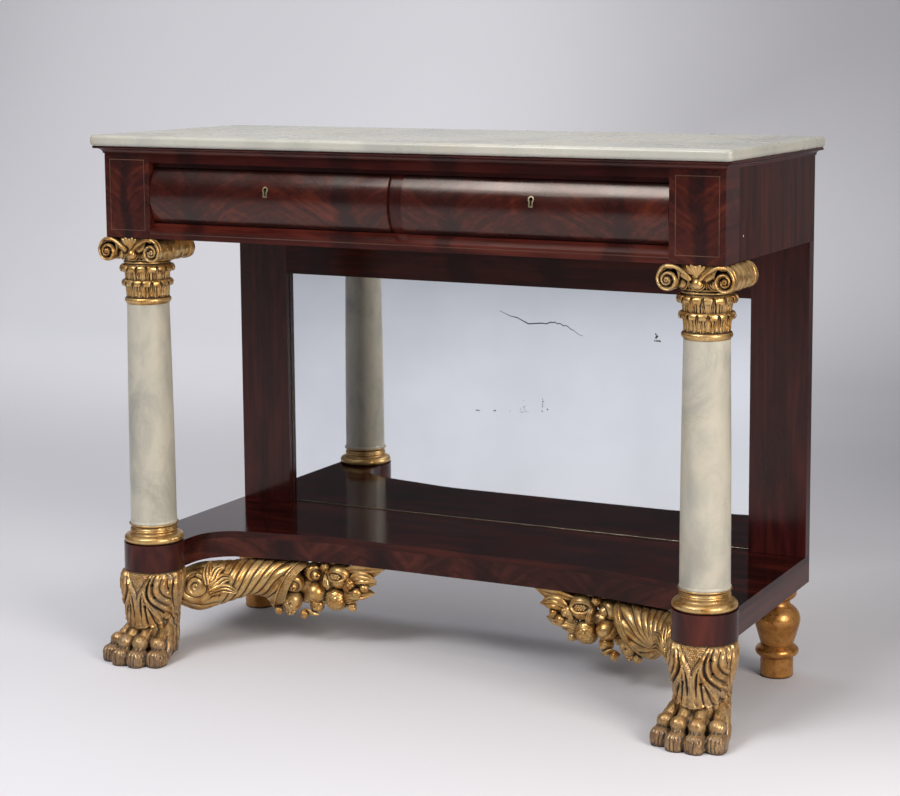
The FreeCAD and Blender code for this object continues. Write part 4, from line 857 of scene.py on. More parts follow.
def paw_feet():
    shells = Shells()
    leg_wrap(shells)
    ankle(shells)
    toes = Shells()
    for place in TOES:
        toe(toes, *place)
    for side in (-1, 1):
        heel = curve([(side * 34, -16, 58), (side * 46, -32, 38), (side * 52, -44, 18), (side * 49, -47, 8)], 20)
        toes.tube(heel, shares(20, [0, 0.6, 1], [11, 11, 8]), 26)
    toes.ball((0, -46, 34), (30, 22, 15), 24, 40)
    points, normals, quads = melted(toes, SKIN_VOXEL, SKIN_ROUNDS)
    x, y, z = points.T
    # Strokes of the carver's tool, coarse and fine.
    grain = np.sin(x * 0.9 + 1.4 * np.sin(z * 0.21) + 0.8 * np.sin(y * 0.33))
    grain *= np.sin(z * 0.27 + 1.1 * np.sin(x * 0.4))
    grain += np.sin(x * 1.9 + 1.2 * np.sin(z * 0.3)) * np.sin(z * 0.12 + x * 0.3) * 0.6
    points = points - normals * (toe_folds(points) + 0.32 * grain)[:, None]
    points[:, 2] = np.maximum(points[:, 2], 0.3)
    shells.add(points, quads)
    carved("paw_carving", shells, old_gold, "paw_foot")


paw_feet()


# ---------------------------------------------------------------- horns of plenty
# Places are given as x towards the middle of the table, y back and z up, from the column axis on the floor.

# Middle of the horn and its radius, from its tail in the leg to its mouth.
HORN_ROWS = [(14, 38, 112, 26), (40, 70, 110, 41.5), (66, 88, 115, 40.5), (94, 108, 120, 35.5), (124, 130, 124, 32.5),
             (151, 150, 120, 38), (178, 162, 110, 48)]
# How far the lip stands back on the side that faces the room, as a share of the horn's length.
LIP_BOW = 0.055
HORN_FLUTES = 8
# Coiled end: its middle, and the directions along the horn, out to the room and up.
SCROLL = np.array([56.0, 44.5, 120.0])
SCROLL_ALONG, SCROLL_OUT, UP = np.array([(0.83, 0.555, 0.0), (0.555, -0.83, 0.0), (0.0, 0.0, 1.0)])
SCROLL_TURNS = 2.05
# Round it on the horn: radius and half width of a smooth roll, and how far out there are no flutes.
ROLL_RADIUS, ROLL_HALF, ROLL_REACH, ROLL_HEIGHT = 28.0, 7.0, 36, 3.6
# The long folds of the tail take 27 degrees each; the flutes of the horn take over from them at this share.
FOLD_DEGREES, TAIL_END, TAIL_FADE = 27, 0.44, 0.10
FLUTE_HEIGHT, FOLD_HEIGHT, BODY_SEAT = 3.4, 3.0, 1.8
# Sections of the mouth as (how far ahead, how far out): the rolled lip, and the way back inside.
MOUTH_LIP = [(0.8, 1.0), (1.6, 2.4), (3.2, 3.0), (4.8, 2.2), (5.4, 0.4), (5.4, -1.4)]
MOUTH_INSIDE = [(22.0, -12), (17.0, -16), (0.0, -20), (-20.0, -26)]
# The scaled collar between them, which slopes in to the fruit.
COLLAR_ROWS, COLLAR_SCALES, COLLAR_BANDS = 34, 44, 3.2


def inward(points):
    """Turn places measured towards the middle of the table into the carving frame."""
    return np.array(points, float) * (-1, 1, 1)


class Horn:
    """Axis, radius and directions of the horn at any share of its length."""

    def __init__(self, rows=220):
        line = curve(HORN_ROWS, rows)
        self.path, self.radius = line[:, :3], line[:, 3]
        self.share = np.linspace(0, 1, rows)
        way = unit(np.gradient(self.path, axis=0) * (1, 1, 0.4))
        self.out = unit(np.stack([way[:, 1], -way[:, 0], 0 * way[:, 0]], -1))
        self.above = np.cross(self.out, way)
        self.above *= np.sign(self.above[:, 2])[:, None]
        step = np.linalg.norm(np.diff(self.path, axis=0), axis=1)
        spacing = 0.46 * (self.radius[1:] + self.radius[:-1]) / 2
        self.count = np.r_[0, np.cumsum(step / spacing)]

    def at(self, share, turn, lift=0.0):
        """Point at a share of the length and a turn in degrees (0 front, 90 top), lifted off the surface."""
        share = np.asarray(share, float)
        path, out, above = (np.stack([np.interp(share, self.share, table[:, k]) for k in range(3)], -1)
                            for table in (self.path, self.out, self.above))
        a = np.radians(turn)
        ring = out * np.cos(a)[..., None] + above * np.sin(a)[..., None]
        point = path + ring * (np.interp(share, self.share, self.radius) + lift)[..., None]
        lean = clamp((share - 0.62) / 0.38) ** 2 * 0.46
        point[..., 0] += lean * (point[..., 2] - path[..., 2])
        return point


def pillow(phase, power=2.4):
    """Rounded ridges with narrow grooves, one per unit of phase, 0 to 1."""
    return 1 - np.abs(2 * (phase - np.floor(phase)) - 1) ** power


def horn_body(shells, horn):
    turn, share = np.meshgrid(np.linspace(-180, 180, 260, endpoint=False), horn.share)
    front = turn[:1]
    bow = 1 - LIP_BOW * np.maximum(np.cos(np.radians(front)), 0)
    share = share * bow
    flute = pillow(HORN_FLUTES * turn / 360 - np.interp(share, horn.share, horn.count) + 0.25) * FLUTE_HEIGHT
    # Smooth roll around the scroll, and long folds that run from it along the underside.
    gap = horn.at(share, turn) - SCROLL
    far = np.hypot(gap @ SCROLL_ALONG, gap[..., 2])
    band = clamp((ROLL_REACH - far) / 5) * clamp(gap @ SCROLL_OUT / 12 + 1.6)
    roll = ROLL_HEIGHT * dome((far - ROLL_RADIUS) / ROLL_HALF, 0.6)
    swirl = pillow(turn / FOLD_DEGREES + share * 2.2, 1.9) * FOLD_HEIGHT
    tail = ease(clamp((TAIL_END - share) / TAIL_FADE))
    lift = (flute * (1 - tail) + swirl * tail) * (1 - band) + roll * band - BODY_SEAT

    def mouth(ahead, lift_by):
        return horn.at(bow, front, lift_by) + (ahead, 0, 0)

    rings = [mouth(*step) for step in MOUTH_LIP]
    for v in np.linspace(0, 1, COLLAR_ROWS):
        scale_u, scale_v = front / 360 * COLLAR_SCALES, v * COLLAR_BANDS
        diamond = np.abs((scale_u + scale_v) % 1 - 0.5) + np.abs((scale_u - scale_v) % 1 - 0.5)
        relief = 1.9 * (1 - np.abs(diamond - 0.5) * 2) + 1.4 * math.sin(math.pi * v)
        rings.append(mouth(5.8 + 17.0 * v, -2.2 - 7.5 * v + relief))
    rings += [mouth(*step) for step in MOUTH_INSIDE]
    shells.grid(inward(np.concatenate([horn.at(share, turn, lift)] + rings)))


def in_scroll(reach, spin, out):
    """Places in the frame of the scroll, by distance and angle from its middle and how far out."""
    reach, spin, out = (np.asarray(value)[..., None] for value in (reach, spin, out))
    return SCROLL + reach * np.cos(spin) * SCROLL_ALONG + reach * np.sin(spin) * UP + SCROLL_OUT * out


def scroll(shells):
    """Coiled end of the horn: a spiral roll on a round boss."""
    turns = np.linspace(0, SCROLL_TURNS, 120)
    share = turns / SCROLL_TURNS
    path = in_scroll(18.4 * (1 - share) ** 0.9 + 1.4, np.radians(80) - turns * TAU, 1.0 + 4.5 * share)
    thick = np.interp(turns, [0, 0.15, 1.0, 1.8, SCROLL_TURNS], [4.4, 5.2, 4.4, 3.0, 3.4])
    shells.tube(inward(path), thick, 26, up=inward(SCROLL_OUT))
    boss = ((20.5, -14), (21.5, -5), (20.5, -2.0), (16.5, -2.4), (10, -0.8), (4, 2.5), (0.6, 3.2))
    shells.grid(inward([in_scroll(r, circle(90), h) for r, h in boss]))


def blade(shells, line, half, thick, out, curl=0.0):
    """Leaf or lobe: a thin lens along a line of places, with three ribs on the side that faces out."""
    path = curve(line, 30)
    share = np.linspace(0, 1, 30)[:, None]
    width = np.interp(share, np.linspace(0, 1, len(half)), half)
    way = unit(np.gradient(path, axis=0))
    across = unit(np.cross(way, out))
    face = np.cross(across, way)
    u, w = np.cos(circle(40)), np.sin(circle(40))
    rib = np.where(w > 0, 0.34 * np.cos(u * math.pi * 3) + 0.5 * np.abs(u) ** 3, 0.0)
    lift = thick * (w + rib) * np.minimum(1, 0.25 + width / max(half)) + curl * share ** 3
    shells.grid(inward(path[:, None] + across[:, None] * (u * width)[..., None] + face[:, None] * lift[..., None]))


# Lobes of the leaf over the horn: share of its length and turn at four places, and half widths.
LEAF_ON_HORN = [
    ([0.318, 0.316, 0.324, 0.345], [12, 34, 54, 72], (6.5, 9.6, 8.4, 2.4)),
    ([0.322, 0.348, 0.388, 0.450], [9, 26, 44, 50], (6.5, 9.8, 9.2, 2.4)),
    ([0.322, 0.372, 0.436, 0.512], [2, 12, 22, 18], (6.5, 9.8, 9.4, 2.4)),
    ([0.320, 0.372, 0.445, 0.535], [-6, -2, -3, -20], (6.5, 9.4, 9.0, 2.4)),
]


def horn_leaf(shells, horn):
    """Broad-lobed leaf that spreads from the scroll over the horn."""
    for share, turn, half in LEAF_ON_HORN:
        place = horn.at(share, turn, np.array([3.5, 4.2, 4.6, 5.4]))
        blade(shells, place, half, 2.9, unit((place - horn.at(share, turn, -10.0)).mean(0)), curl=2.6)


def turned_ball(shells, centre, radii, axis, shape, rings=38, around=48, side=None, edge=0.03):
    """Ball of the horn's frame whose own +z looks along an axis."""
    axis = unit(np.array(axis, float))
    side = unit(np.cross(axis, (0.31, 0.2, 0.93))) if side is None else side
    shells.ball(centre, radii, rings, around, shape, (side, np.cross(axis, side), axis), edge, inward)


# Forms of the fruit: a factor for each direction, its angle a round the fruit's own axis and tilt t from its end.

def apple(way, a, t):
    """Round fruit with a dished end that holds a five-pointed calyx."""
    dish = 0.20 * np.exp(-(t / 0.30) ** 2)
    star = 0.13 * np.exp(-((t - 0.20) / 0.13) ** 2) * (0.5 + 0.5 * np.cos(5 * a))
    return 1 - dish + star + 0.03 * np.cos(3 * a) * np.sin(t) ** 2


def pear(way, a, t):
    """Fruit that narrows to a nub at its calyx."""
    neck = 0.16 * np.cos(t) - 0.20 * np.exp(-((t - 0.62) / 0.22) ** 2)
    nub = 0.10 * np.exp(-(t / 0.28) ** 2) * (1 + 0.4 * np.cos(5 * a)) - 0.18 * np.exp(-(t / 0.10) ** 2)
    return 1 + neck + nub


def peach(way, a, t):
    """Round fruit with a deep crease down one side."""
    crease = 0.17 * np.exp(-(np.sin(a / 2) / 0.10) ** 2) * np.sin(t)
    end = 0.14 * np.exp(-(t / 0.25) ** 2)
    return 1 - crease - end


def cone(way, a, t):
    """Cone with kernels between two sets of slanting grooves."""
    run = t * 5.2
    one = pillow(a * 9 / TAU + run * 0.62, 2.0)
    two = pillow(a * 9 / TAU - run * 0.62, 2.0)
    return boxy(way, 2.3) - 0.11 * (1 - np.minimum(one, two)) * np.sin(t) ** 0.5


def blossom(way, a, t):
    """Small flower: five petals round a boss."""
    petal = 0.22 * np.cos(5 * a) * np.sin(t) ** 2
    heart = 0.34 * np.exp(-(t / 0.30) ** 2) - 0.30 * np.exp(-((t - 0.5) / 0.16) ** 2)
    return 1 + petal + heart


def berry(way, a, t):
    """Cluster of little drupes."""
    return 0.9 + 0.16 * pillow(a * 5 / TAU, 1.6) * pillow(t * 3 / math.pi, 1.6)


def split_skin(way, a, t):
    """Round fruit with a window in its skin, which has a raised rim."""
    x, y = way[..., 0] / 0.62, way[..., 1] / 0.30
    q = np.where(way[..., 2] > 0, np.hypot(x, y), 9)
    return 1 - 0.16 * np.clip(1.25 - q, 0, 0.25) / 0.25 + 0.07 * np.exp(-((q - 1.28) / 0.16) ** 2)


# Rows of seeds in the split skin: how far up, and how many.
SEED_ROWS, SEED_STEP = [(-0.15, 4), (0.0, 5), (0.15, 4)], 0.20


def pomegranate(shells, centre, radius, split, crown):
    """Round fruit with a split skin that shows its seeds, and a crown at one end."""
    centre, split = np.array(centre, float), unit(np.array(split, float))
    level_way = unit(np.cross(UP, split))
    up_way = np.cross(split, level_way)
    turned_ball(shells, centre, (radius,) * 3, split, split_skin, 60, 80, level_way, 0.02)
    for v, count in SEED_ROWS:
        for k in range(count):
            u = (k - (count - 1) / 2) * SEED_STEP
            way = split * math.sqrt(1 - u * u - v * v) + level_way * u + up_way * v
            turned_ball(shells, centre + way * radius * 0.86, (2.7, 2.4, 2.6), way, None, 10, 12)
    turned_ball(shells, centre + np.array(crown) * radius * 0.98, (6.5, 6.5, 4.5), crown, blossom, 20, 30)


# Form, middle, radii across and along its own axis, way its end looks.
FRUITS = [
    (apple, (191, 155, 80), (20, 19), (0.25, -1, -0.15)),
    (pear, (196, 155, 117), (18.5, 20), (0.45, -1, -0.45)),
    (pear, (231, 169, 137), (18, 21), (0.75, -0.85, -0.25)),
    (peach, (239, 161, 100), (18.5, 19.5), (0.1, -0.75, -0.65)),
    (berry, (240, 163, 75), (13.5, 14), (0.1, -0.6, -0.8)),
    (cone, (279, 169, 90), (21, 21.5), (0.15, -0.25, -1)),
    (berry, (258, 160, 150), (9, 8), (0.1, -0.9, 0.2)),
    (berry, (312, 160, 124), (11, 12), (0.5, -0.8, 0)),
    (apple, (326, 160, 108), (9.5, 9), (0.5, -0.85, -0.4)),
    (apple, (340, 163, 118), (8.5, 8), (0.6, -0.8, -0.2)),
    (berry, (220, 150, 60), (8, 9), (0, -0.5, -0.9)),
    (blossom, (190, 150, 62), (9, 7), (0.1, -0.6, -0.7)),
    (berry, (172, 140, 64), (8, 8), (0, -0.5, -0.8)),
    (apple, (178, 160, 148), (10, 10), (0.2, -0.8, 0.3)),
    # Far side of the heap.
    (peach, (204, 188, 88), (19, 19), (0.2, 1, -0.2)),
    (pear, (212, 187, 126), (18, 20), (0.5, 0.9, -0.2)),
    (apple, (246, 191, 106), (19, 18.5), (0.2, 1, 0.1)),
    (apple, (250, 186, 140), (16, 16), (0.3, 1, 0.3)),
    (cone, (284, 190, 96), (17, 19), (0.6, 0.6, -0.7)),
    (peach, (290, 188, 128), (19, 18), (0.3, 1, 0)),
    (blossom, (232, 196, 76), (10, 8), (0.1, 0.9, -0.4)),
    (berry, (322, 184, 112), (11, 11), (0.5, 0.8, -0.1)),
    (blossom, (330, 183, 136), (10, 8), (0.4, 0.9, 0.1)),
    (berry, (308, 172, 78), (9, 10), (0.6, 0, -0.8)),
]
# Pointed leaves and pods at the end of the heap: line, half widths, side that faces out.
HORN_BLADES = [
    ([(300, 166, 144), (326, 160, 148), (352, 163, 150), (379, 170, 156)], (8, 17, 15, 0.8), (0.1, -0.9, -0.5)),
    ([(306, 178, 146), (330, 184, 149), (354, 180, 151), (376, 172, 157)], (6, 12, 10, 0.8), (0.1, 0.9, -0.4)),
    ([(310, 162, 126), (330, 156, 138), (348, 158, 138), (366, 163, 132)], (5, 12, 11, 0.8), (0.2, -0.95, 0.2)),
    ([(312, 170, 116), (332, 166, 122), (348, 168, 124), (360, 172, 126)], (4, 9, 7, 0.8), (0.2, -0.8, -0.5)),
    ([(296, 164, 100), (316, 160, 104), (338, 163, 105), (357, 170, 108)], (5, 9, 8, 0.8), (0.1, -0.9, 0.4)),
    ([(300, 180, 102), (320, 184, 106), (340, 180, 107), (356, 172, 108)], (5, 9, 8, 0.8), (0.1, 0.9, 0.4)),
    ([(292, 166, 88), (308, 162, 92), (322, 164, 96), (332, 168, 98)], (4, 7, 6, 0.8), (0.1, -0.9, -0.3)),
    ([(240, 176, 152), (262, 172, 158), (284, 170, 158), (300, 168, 156)], (4, 8, 7, 0.8), (0, -0.5, 0.8)),
    ([(214, 160, 60), (226, 152, 66), (238, 150, 62), (248, 156, 60)], (3, 6, 5, 0.8), (0, -0.8, -0.5)),
    ([(262, 160, 112), (268, 150, 116), (266, 150, 128), (262, 156, 138)], (3, 6, 5, 0.8), (0, -1, 0)),
    ([(296, 168, 112), (304, 158, 112), (306, 156, 124), (300, 160, 138)], (3, 6, 5, 0.8), (0.3, -1, 0)),
]
# Filling of the heap, which the fruit stand on: place and radius.
HEART = [(150, 158, 114, 26), (190, 174, 108, 19), (250, 178, 112, 15), (300, 176, 122, 11), (336, 173, 134, 8),
         (356, 172, 143, 4)]


def horns():
    shells = Shells()
    horn = Horn()
    horn_body(shells, horn)
    scroll(shells)
    horn_leaf(shells, horn)
    line = curve(HEART, 60)
    shells.tube(inward(line[:, :3]), line[:, 3], 32)
    for form, centre, (wide, long), way in FRUITS:
        turned_ball(shells, centre, (wide, wide, long), way, form)
    pomegranate(shells, (287, 171, 134), 24.5, (-0.12, -1, 0.10), (0.93, -0.2, -0.3))
    for line, half, out in HORN_BLADES:
        blade(shells, line, half, 2.2, out)
    for verts in shells.verts:
        verts[:, 2] = np.minimum(verts[:, 2], SHELF_UNDERSIDE - 0.3)
    carved("horn_carving", shells, gold, "cornucopia")


horns()


# ---------------------------------------------------------------- capitals and bases
# Local frame as for the legs: x outwards, y back and z up, from the foot of the column axis.

EYE_X, EYE_Z = 47.5, 736.0
FACE_Y = 56.4                      # front of the volutes, from the column axis
RAISED = 7.0                       # how far the spiral edge stands before the ground of the volute
VOLUTE_TOP = 760.8
# Middle of the raised spiral edge, as the distance from the eye by angle round it: the top is at 90 degrees and
# the angle runs outwards, down and back in.
SPIRAL = [(68, 23.2), (90, 22.4), (115, 19.8), (150, 16.4), (180, 15.2), (225, 14.9), (270, 14.9), (315, 14.8),
          (360, 14.2), (405, 12.8), (450, 11), (495, 9.2), (540, 8.2), (585, 7.6), (630, 7.2), (675, 6.6), (720, 5.6)]
# Outline of the volute's face by the same angle.
FACE_EDGE = [(0, 17), (20, 21), (35, 27), (50, 27.5), (68, 25.6), (90, 24.8), (115, 22.2), (150, 18.8),
             (180, 17.4), (225, 17.2), (270, 17.2), (315, 17.1), (360, 17)]


def volute_face(shells, side, front):
    """Disc of a volute with its raised spiral edge; side is the way out, front is -1 or 1."""
    angle, share = np.meshgrid(np.linspace(0, 360, 230, endpoint=False), np.linspace(0.012, 1, 70))
    r = share * np.interp(angle, *zip(*FACE_EDGE))
    a = np.radians(angle)
    x, z = r * np.cos(a), r * np.sin(a)
    relief = Relief(x, z)
    turn, reach = np.radians([q[0] for q in SPIRAL]), np.array([q[1] for q in SPIRAL])
    line = curve(np.stack([reach * np.cos(turn), reach * np.sin(turn)], -1), 150)
    relief.add(line, (2.9, 2.9, 2.7, 2.4, 2.0), 6.4, 0.55, 150)
    relief.add(line * 0.84, (1.5, 1.4, 1.2, 1.0, 0.8), 2.0, 0.7)
    boss = dome(r / 6.2, 0.6) * 6.6 - 2.4 * dome(r / 2.2)
    petals = 0.7 * np.cos(a * 6) * np.exp(-((r - 4.2) / 1.6) ** 2)
    depth = np.minimum(FACE_Y - RAISED + np.maximum(relief.h, boss + petals), FACE_Y)
    rounding = clamp((share - 0.955) / 0.045) ** 2 * 1.6
    face = np.stack([side * (EYE_X - x), front * (depth - rounding), EYE_Z + z], -1)
    rings = [face]
    for back in (4.0, 8.5):
        ring = face[-1:].copy()
        ring[..., 1] = front * (FACE_Y - RAISED - back)
        rings.append(ring)
    shells.grid(np.concatenate(rings))


def upper_band(shells, side, front):
    """Edge that runs from a volute's top down to the junction over the egg, with a sunk channel below it."""
    edge = [(0, 760.6), (-11, 759.4), (-21, 755.6), (-29, 750.6), (-35, 745.6), (-39.4, 740.6)]
    floor = [(-4, 757), (-16, 754), (-26, 748), (-33, 743.5)]
    for line, count, shift, set_back, drop, top, radii, flat in (
            (edge, 50, 0.7, 2.8, 1.6, 757.8, (3.0, 2.4), 1.0), (floor, 24, 0.0, 13.0, 5.0, 999, (7.5, 4.0), 0.7)):
        x, z = curve([(EYE_X + x, z) for x, z in line], count).T
        points = np.stack([side * (x + shift), np.full(count, front * (FACE_Y - set_back)),
                           np.minimum(z - drop, top)], -1)
        shells.tube(points, np.linspace(*radii, count), 26, flat, (0, front, 0))


def volute_roll(shells, side):
    """Ringed side roll between a front volute and the one behind it."""
    y = np.linspace(-FACE_Y + RAISED, FACE_Y - RAISED, 200)[:, None]
    d = np.abs(y)
    factor = 0.90 + 0.07 * clamp((d - 30) / 18) ** 1.5
    for ring in (0.165 * dome(y / 11.5, 0.5), 0.135 * dome((d - 20.5) / 8.2, 0.5), 0.15 * clamp((d - 46.5) / 1.5)):
        factor = np.maximum(factor, 0.86 + ring)
    x = side * EYE_X + 17.6 * factor * np.cos(circle(90))
    z = EYE_Z + 3.6 + 20.9 * factor * np.sin(circle(90))
    shells.grid(np.stack([x, y + 0 * x, np.minimum(z, VOLUTE_TOP)], -1))


# Two raised frames round each egg: half width, radius of the edge and distance from the axis.
EGG_FRAMES = [(9.3, 1.35, 46.5), (12.4, 1.1, 45.0)]
FRAME_BEND = 1.35                  # how far the frame bends round the egg to each side, in radians
DART = [(45.0, 738), (45.8, 730), (42.5, 721.5)]
# Petals of the fan over the egg: lean in degrees, length and half width.
PETALS = [(0, 18.0, 4.2), (20, 18.0, 3.8), (-20, 18.0, 3.8), (39, 19.0, 3.2), (-39, 19.0, 3.2)]


def echinus(shells, front):
    """Eggs between their frames and darts, with a fan of petals over the middle one."""
    for turn in (0, -38, 38, 76, -76):
        turn += 0 if front < 0 else 180
        egg(shells, turn)
        bend = np.linspace(-1, 1, 33) * FRAME_BEND
        for half, radius, reach in EGG_FRAMES:
            u = half * np.sin(bend) / math.sin(FRAME_BEND)
            drop = -half * 0.98 * np.cos(bend) + 1.2
            line = polar(reach - 0.10 * np.abs(drop), turn + np.degrees(u / reach), 731.5 + drop)
            shells.tube(curve(line, 40), np.full(40, radius), 14)
        for side in (-1, 1):
            dart = [polar(reach, turn + side * 19, z) for reach, z in DART]
            shells.tube(curve(dart, 16), shares(16, [0, 0.4, 1], [1.5, 2.1, 0.7]), 14)
    share = np.linspace(0, 1, 14)
    for lean, length, half in PETALS:
        way = math.radians(lean)
        x = math.sin(way) * length * share * (1 + 0.15 * share)
        z = 741.5 + math.cos(way) * length * share + 1.5 * share
        points = np.stack([x, front * (FACE_Y - 8.6 + 4.4 * share), np.minimum(z, 759.4)], -1)
        width = np.interp(share, [0, 0.55, 0.85, 1], [0.9, half * 0.8, half, half * 0.6])
        shells.tube(points, width, 20, 0.6, (0, front, 0))


def egg(shells, turn):
    """Egg that is fuller above, which looks out from the capital."""
    out = polar(1, turn, 0)

    def shape(way, a, t):
        fuller = 1 + 0.10 * way[..., 1]
        return np.stack([np.ones_like(a), fuller, np.ones_like(a)], -1)

    across = np.array([-out[1], out[0], 0])
    shells.ball(polar(44.5, turn, 730.2), (8.2, 8.6, 6.8), 26, 36, shape, (across, UP, out), 0.04)


def shaft_rings():
    """Gilt ring round the foot of each marble shaft: two lips with a shallow hollow between them."""
    shells = Shells()
    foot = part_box("column_shaft_right")[0][2] / MM
    profile = [(34, -9.8), (41, -9.8), (41.9, -9), (41.3, -7.9), (40.2, -6.6), (39.8, -5), (40.4, -3.4), (41.9, -2.2),
               (43.5, -1.2), (44, -0.1), (43.6, 0.8), (42.8, 0.9), (42.2, 0.2), (42.1, -0.8), (34, -0.8)]
    shells.turned([(r, foot + h) for r, h in profile], 160)
    carved("shaft_ring", shells, gold, None)


def capital_scrolls():
    shells = Shells()
    shells.turned([(0.4, 712.2), (36, 712.2), (40, 713), (41.6, 714.8), (40.4, 716.8), (37.2, 717.6), (37.6, 718.4),
                   (40.2, 719.2), (40.8, 720.8), (39, 722.3), (36.6, 723), (38, 726), (40, 731), (41.4, 737),
                   (41.6, 742), (40, 745), (38, 748), (0.4, 748)], 150)
    # Square block over the eggs, with rounded corners and edges: level and half width.
    c, s = np.cos(circle(120)), np.sin(circle(120))
    squared = (np.abs(c) ** 6 + np.abs(s) ** 6) ** (-1 / 6)
    block = ((742, 38.0), (744, 40.4), (746, 41.0), (758.5, 41.0), (VOLUTE_TOP, 40.6))
    shells.grid(np.array([np.stack([half * squared * c, half * squared * s * 1.02, 0 * c + z], -1)
                          for z, half in block]))
    for side in (-1, 1):
        volute_roll(shells, side)
        for front in (-1, 1):
            volute_face(shells, side, front)
            upper_band(shells, side, front)
    echinus(shells, -1)
    echinus(shells, 1)
    carved("capital_scroll_carving", shells, gold, "capital_volutes")


BELL_TOP = 712.4


def bell_leaf(shells, angle, profile, half, thick, kind):
    """Leaf that stands against the bell and curls outwards at its tip."""
    line = curve(profile, 64)
    share, u = np.linspace(0, 1, 64)[:, None], np.linspace(-1, 1, 44)
    if kind == "acanthus":
        lobes = 1 - 0.26 * (1 - np.abs(np.sin(share * math.pi * 3.3 + 0.5))) ** 1.3
        width = np.interp(share, [0, 0.25, 0.60, 0.80, 0.93, 1.0], [0.80, 0.95, 1.0, 0.96, 0.74, 0.40]) * lobes * half
        veins = 1.9 * pillow(np.abs(u) * 2.5 - share * 1.6, 1.5) * clamp(np.abs(u) * 5)
        spine = 2.2 * np.exp(-(u / 0.17) ** 2)
        lift = thick * (0.25 + 0.75 * (1 - u ** 4)) + veins + spine
        lift = lift - 1.5 * np.exp(-((np.abs(u) - 0.28) / 0.07) ** 2)
    else:
        width = np.interp(share, [0, 0.3, 0.75, 0.93, 1.0], [0.60, 0.70, 0.95, 1.0, 0.55]) * half
        lift = thick * (0.4 + 0.9 * np.sqrt(dome(u))) + 0.8 * np.cos(u * math.pi * 3) * share
    way = unit(np.gradient(line, axis=0))
    radius, level, out_r, out_z = line[:, :1], line[:, 1:], way[:, 1:], -way[:, :1]
    droop = 1.3 * share ** 2 * u ** 2
    lift = lift * np.minimum(1.0, 0.3 + width / half)
    spread = angle + np.degrees(u * width / np.maximum(radius, 30))
    front = polar(radius + out_r * lift, spread, level + out_z * lift - droop)
    back = polar(radius - out_r + 0 * u, spread, level - out_z - droop)
    points = np.concatenate([front, back[:, ::-1]], 1)
    points[..., 2] = np.minimum(points[..., 2], BELL_TOP)
    shells.grid(points)


def capital_leaves():
    shells = Shells()
    shells.turned([(0.4, 641.3), (37.7, 641.3), (38.4, 643.2), (40.2, 645.2), (40.9, 648), (40.2, 650.8), (38, 652.8),
                   (35.6, 653.6), (34, 657), (33.4, 668), (33.6, 682), (34.6, 694), (37, 704), (39.6, 711.8),
                   (0.4, 711.8)], 140)
    upper = [(33.4, 656), (33.8, 672), (34.8, 688), (36.4, 699), (39.6, 707.4), (43.8, 710.2), (47, 707.8),
             (47.6, 703.2), (45.8, 700.2)]
    lower = [(33.6, 654), (34, 662), (34.8, 672), (36.8, 679.6), (40.2, 683.6), (43.4, 682.4), (44.6, 678),
             (43.2, 674.8)]
    for k in range(16):
        half, thick, kind = (6.4, 3.0, "plain") if k % 2 else (10.2, 2.0, "acanthus")
        bell_leaf(shells, k * 22.5, upper, half, thick, kind)
        bell_leaf(shells, (k + 0.5) * 22.5, lower, 8.4, 1.8, "acanthus")
    carved("capital_leaf_carving", shells, gold, "capital_bell")


shaft_rings()
capital_scrolls()
capital_leaves()


# ---------------------------------------------------------------- crack of the mirror and painted glint of its bevel

CRACK = [(-19.6, 608.2), (2.7, 599.8), (15.5, 598), (38.9, 587.6), (65.6, 590.5), (74.6, 589.6), (79.7, 591.5),
         (83.9, 593.4), (88.2, 592.6), (92.4, 594), (96.6, 590.8), (102.2, 592.2), (109.3, 587.8), (115.7, 588.9),
         (124.7, 581.9), (129, 581.2), (136, 576.1), (141.6, 573), (148.1, 571.9)]


def on_glass(name, path, width, material):
    """A thin raised line along the front of the glass."""
    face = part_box("mirror_glass")[0][1] / MM
    shells = Shells()
    shells.tube([(x, face, z) for x, z in path], width, 6, 0.35, (0, 1, 0))
    made = add_object(name, (np.vstack(shells.verts) * MM).tolist(), shells.faces(), material)
    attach(made, "table")


def mirror_marks():
    """A hair crack, and thin pale metal lines along the edges of the plate that paint the glint of its bevel."""
    last = len(CRACK) - 1
    on_glass("mirror_crack", CRACK, np.interp(np.arange(last + 1), [0, 3, 12, last], [0.4, 1.05, 0.85, 0.3]), iron)
    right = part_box("pilaster_right")[0][0] / MM
    low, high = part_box("mirror_glass")[0][2] / MM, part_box("mirror_rail")[0][2] / MM
    inset = 1.2
    for name, start, end in (("left", (inset - right, low), (inset - right, high)),
                             ("right", (right - inset, low), (right - inset, high)),
                             ("low", (-right, low + inset), (right, low + inset))):
        on_glass("mirror_bevel_" + name, np.linspace(start, end, 5), np.full(5, 0.8), bevel)


mirror_marks()


# ---------------------------------------------------------------- room, light and camera

# Floor and wall: half width, where the floor starts, where it bends up, radius of the bend and top, in m.
REACH, NEAR, FAR, BEND, TOP = 9.0, -9.0, 3.2, 1.6, 6.0
BEND_STEPS = 16
WALL_GLOW, FRONT_GLOW = 0.36, 0.28
HORIZON_LIGHT, OVERHEAD_LIGHT = 0.07, 0.55


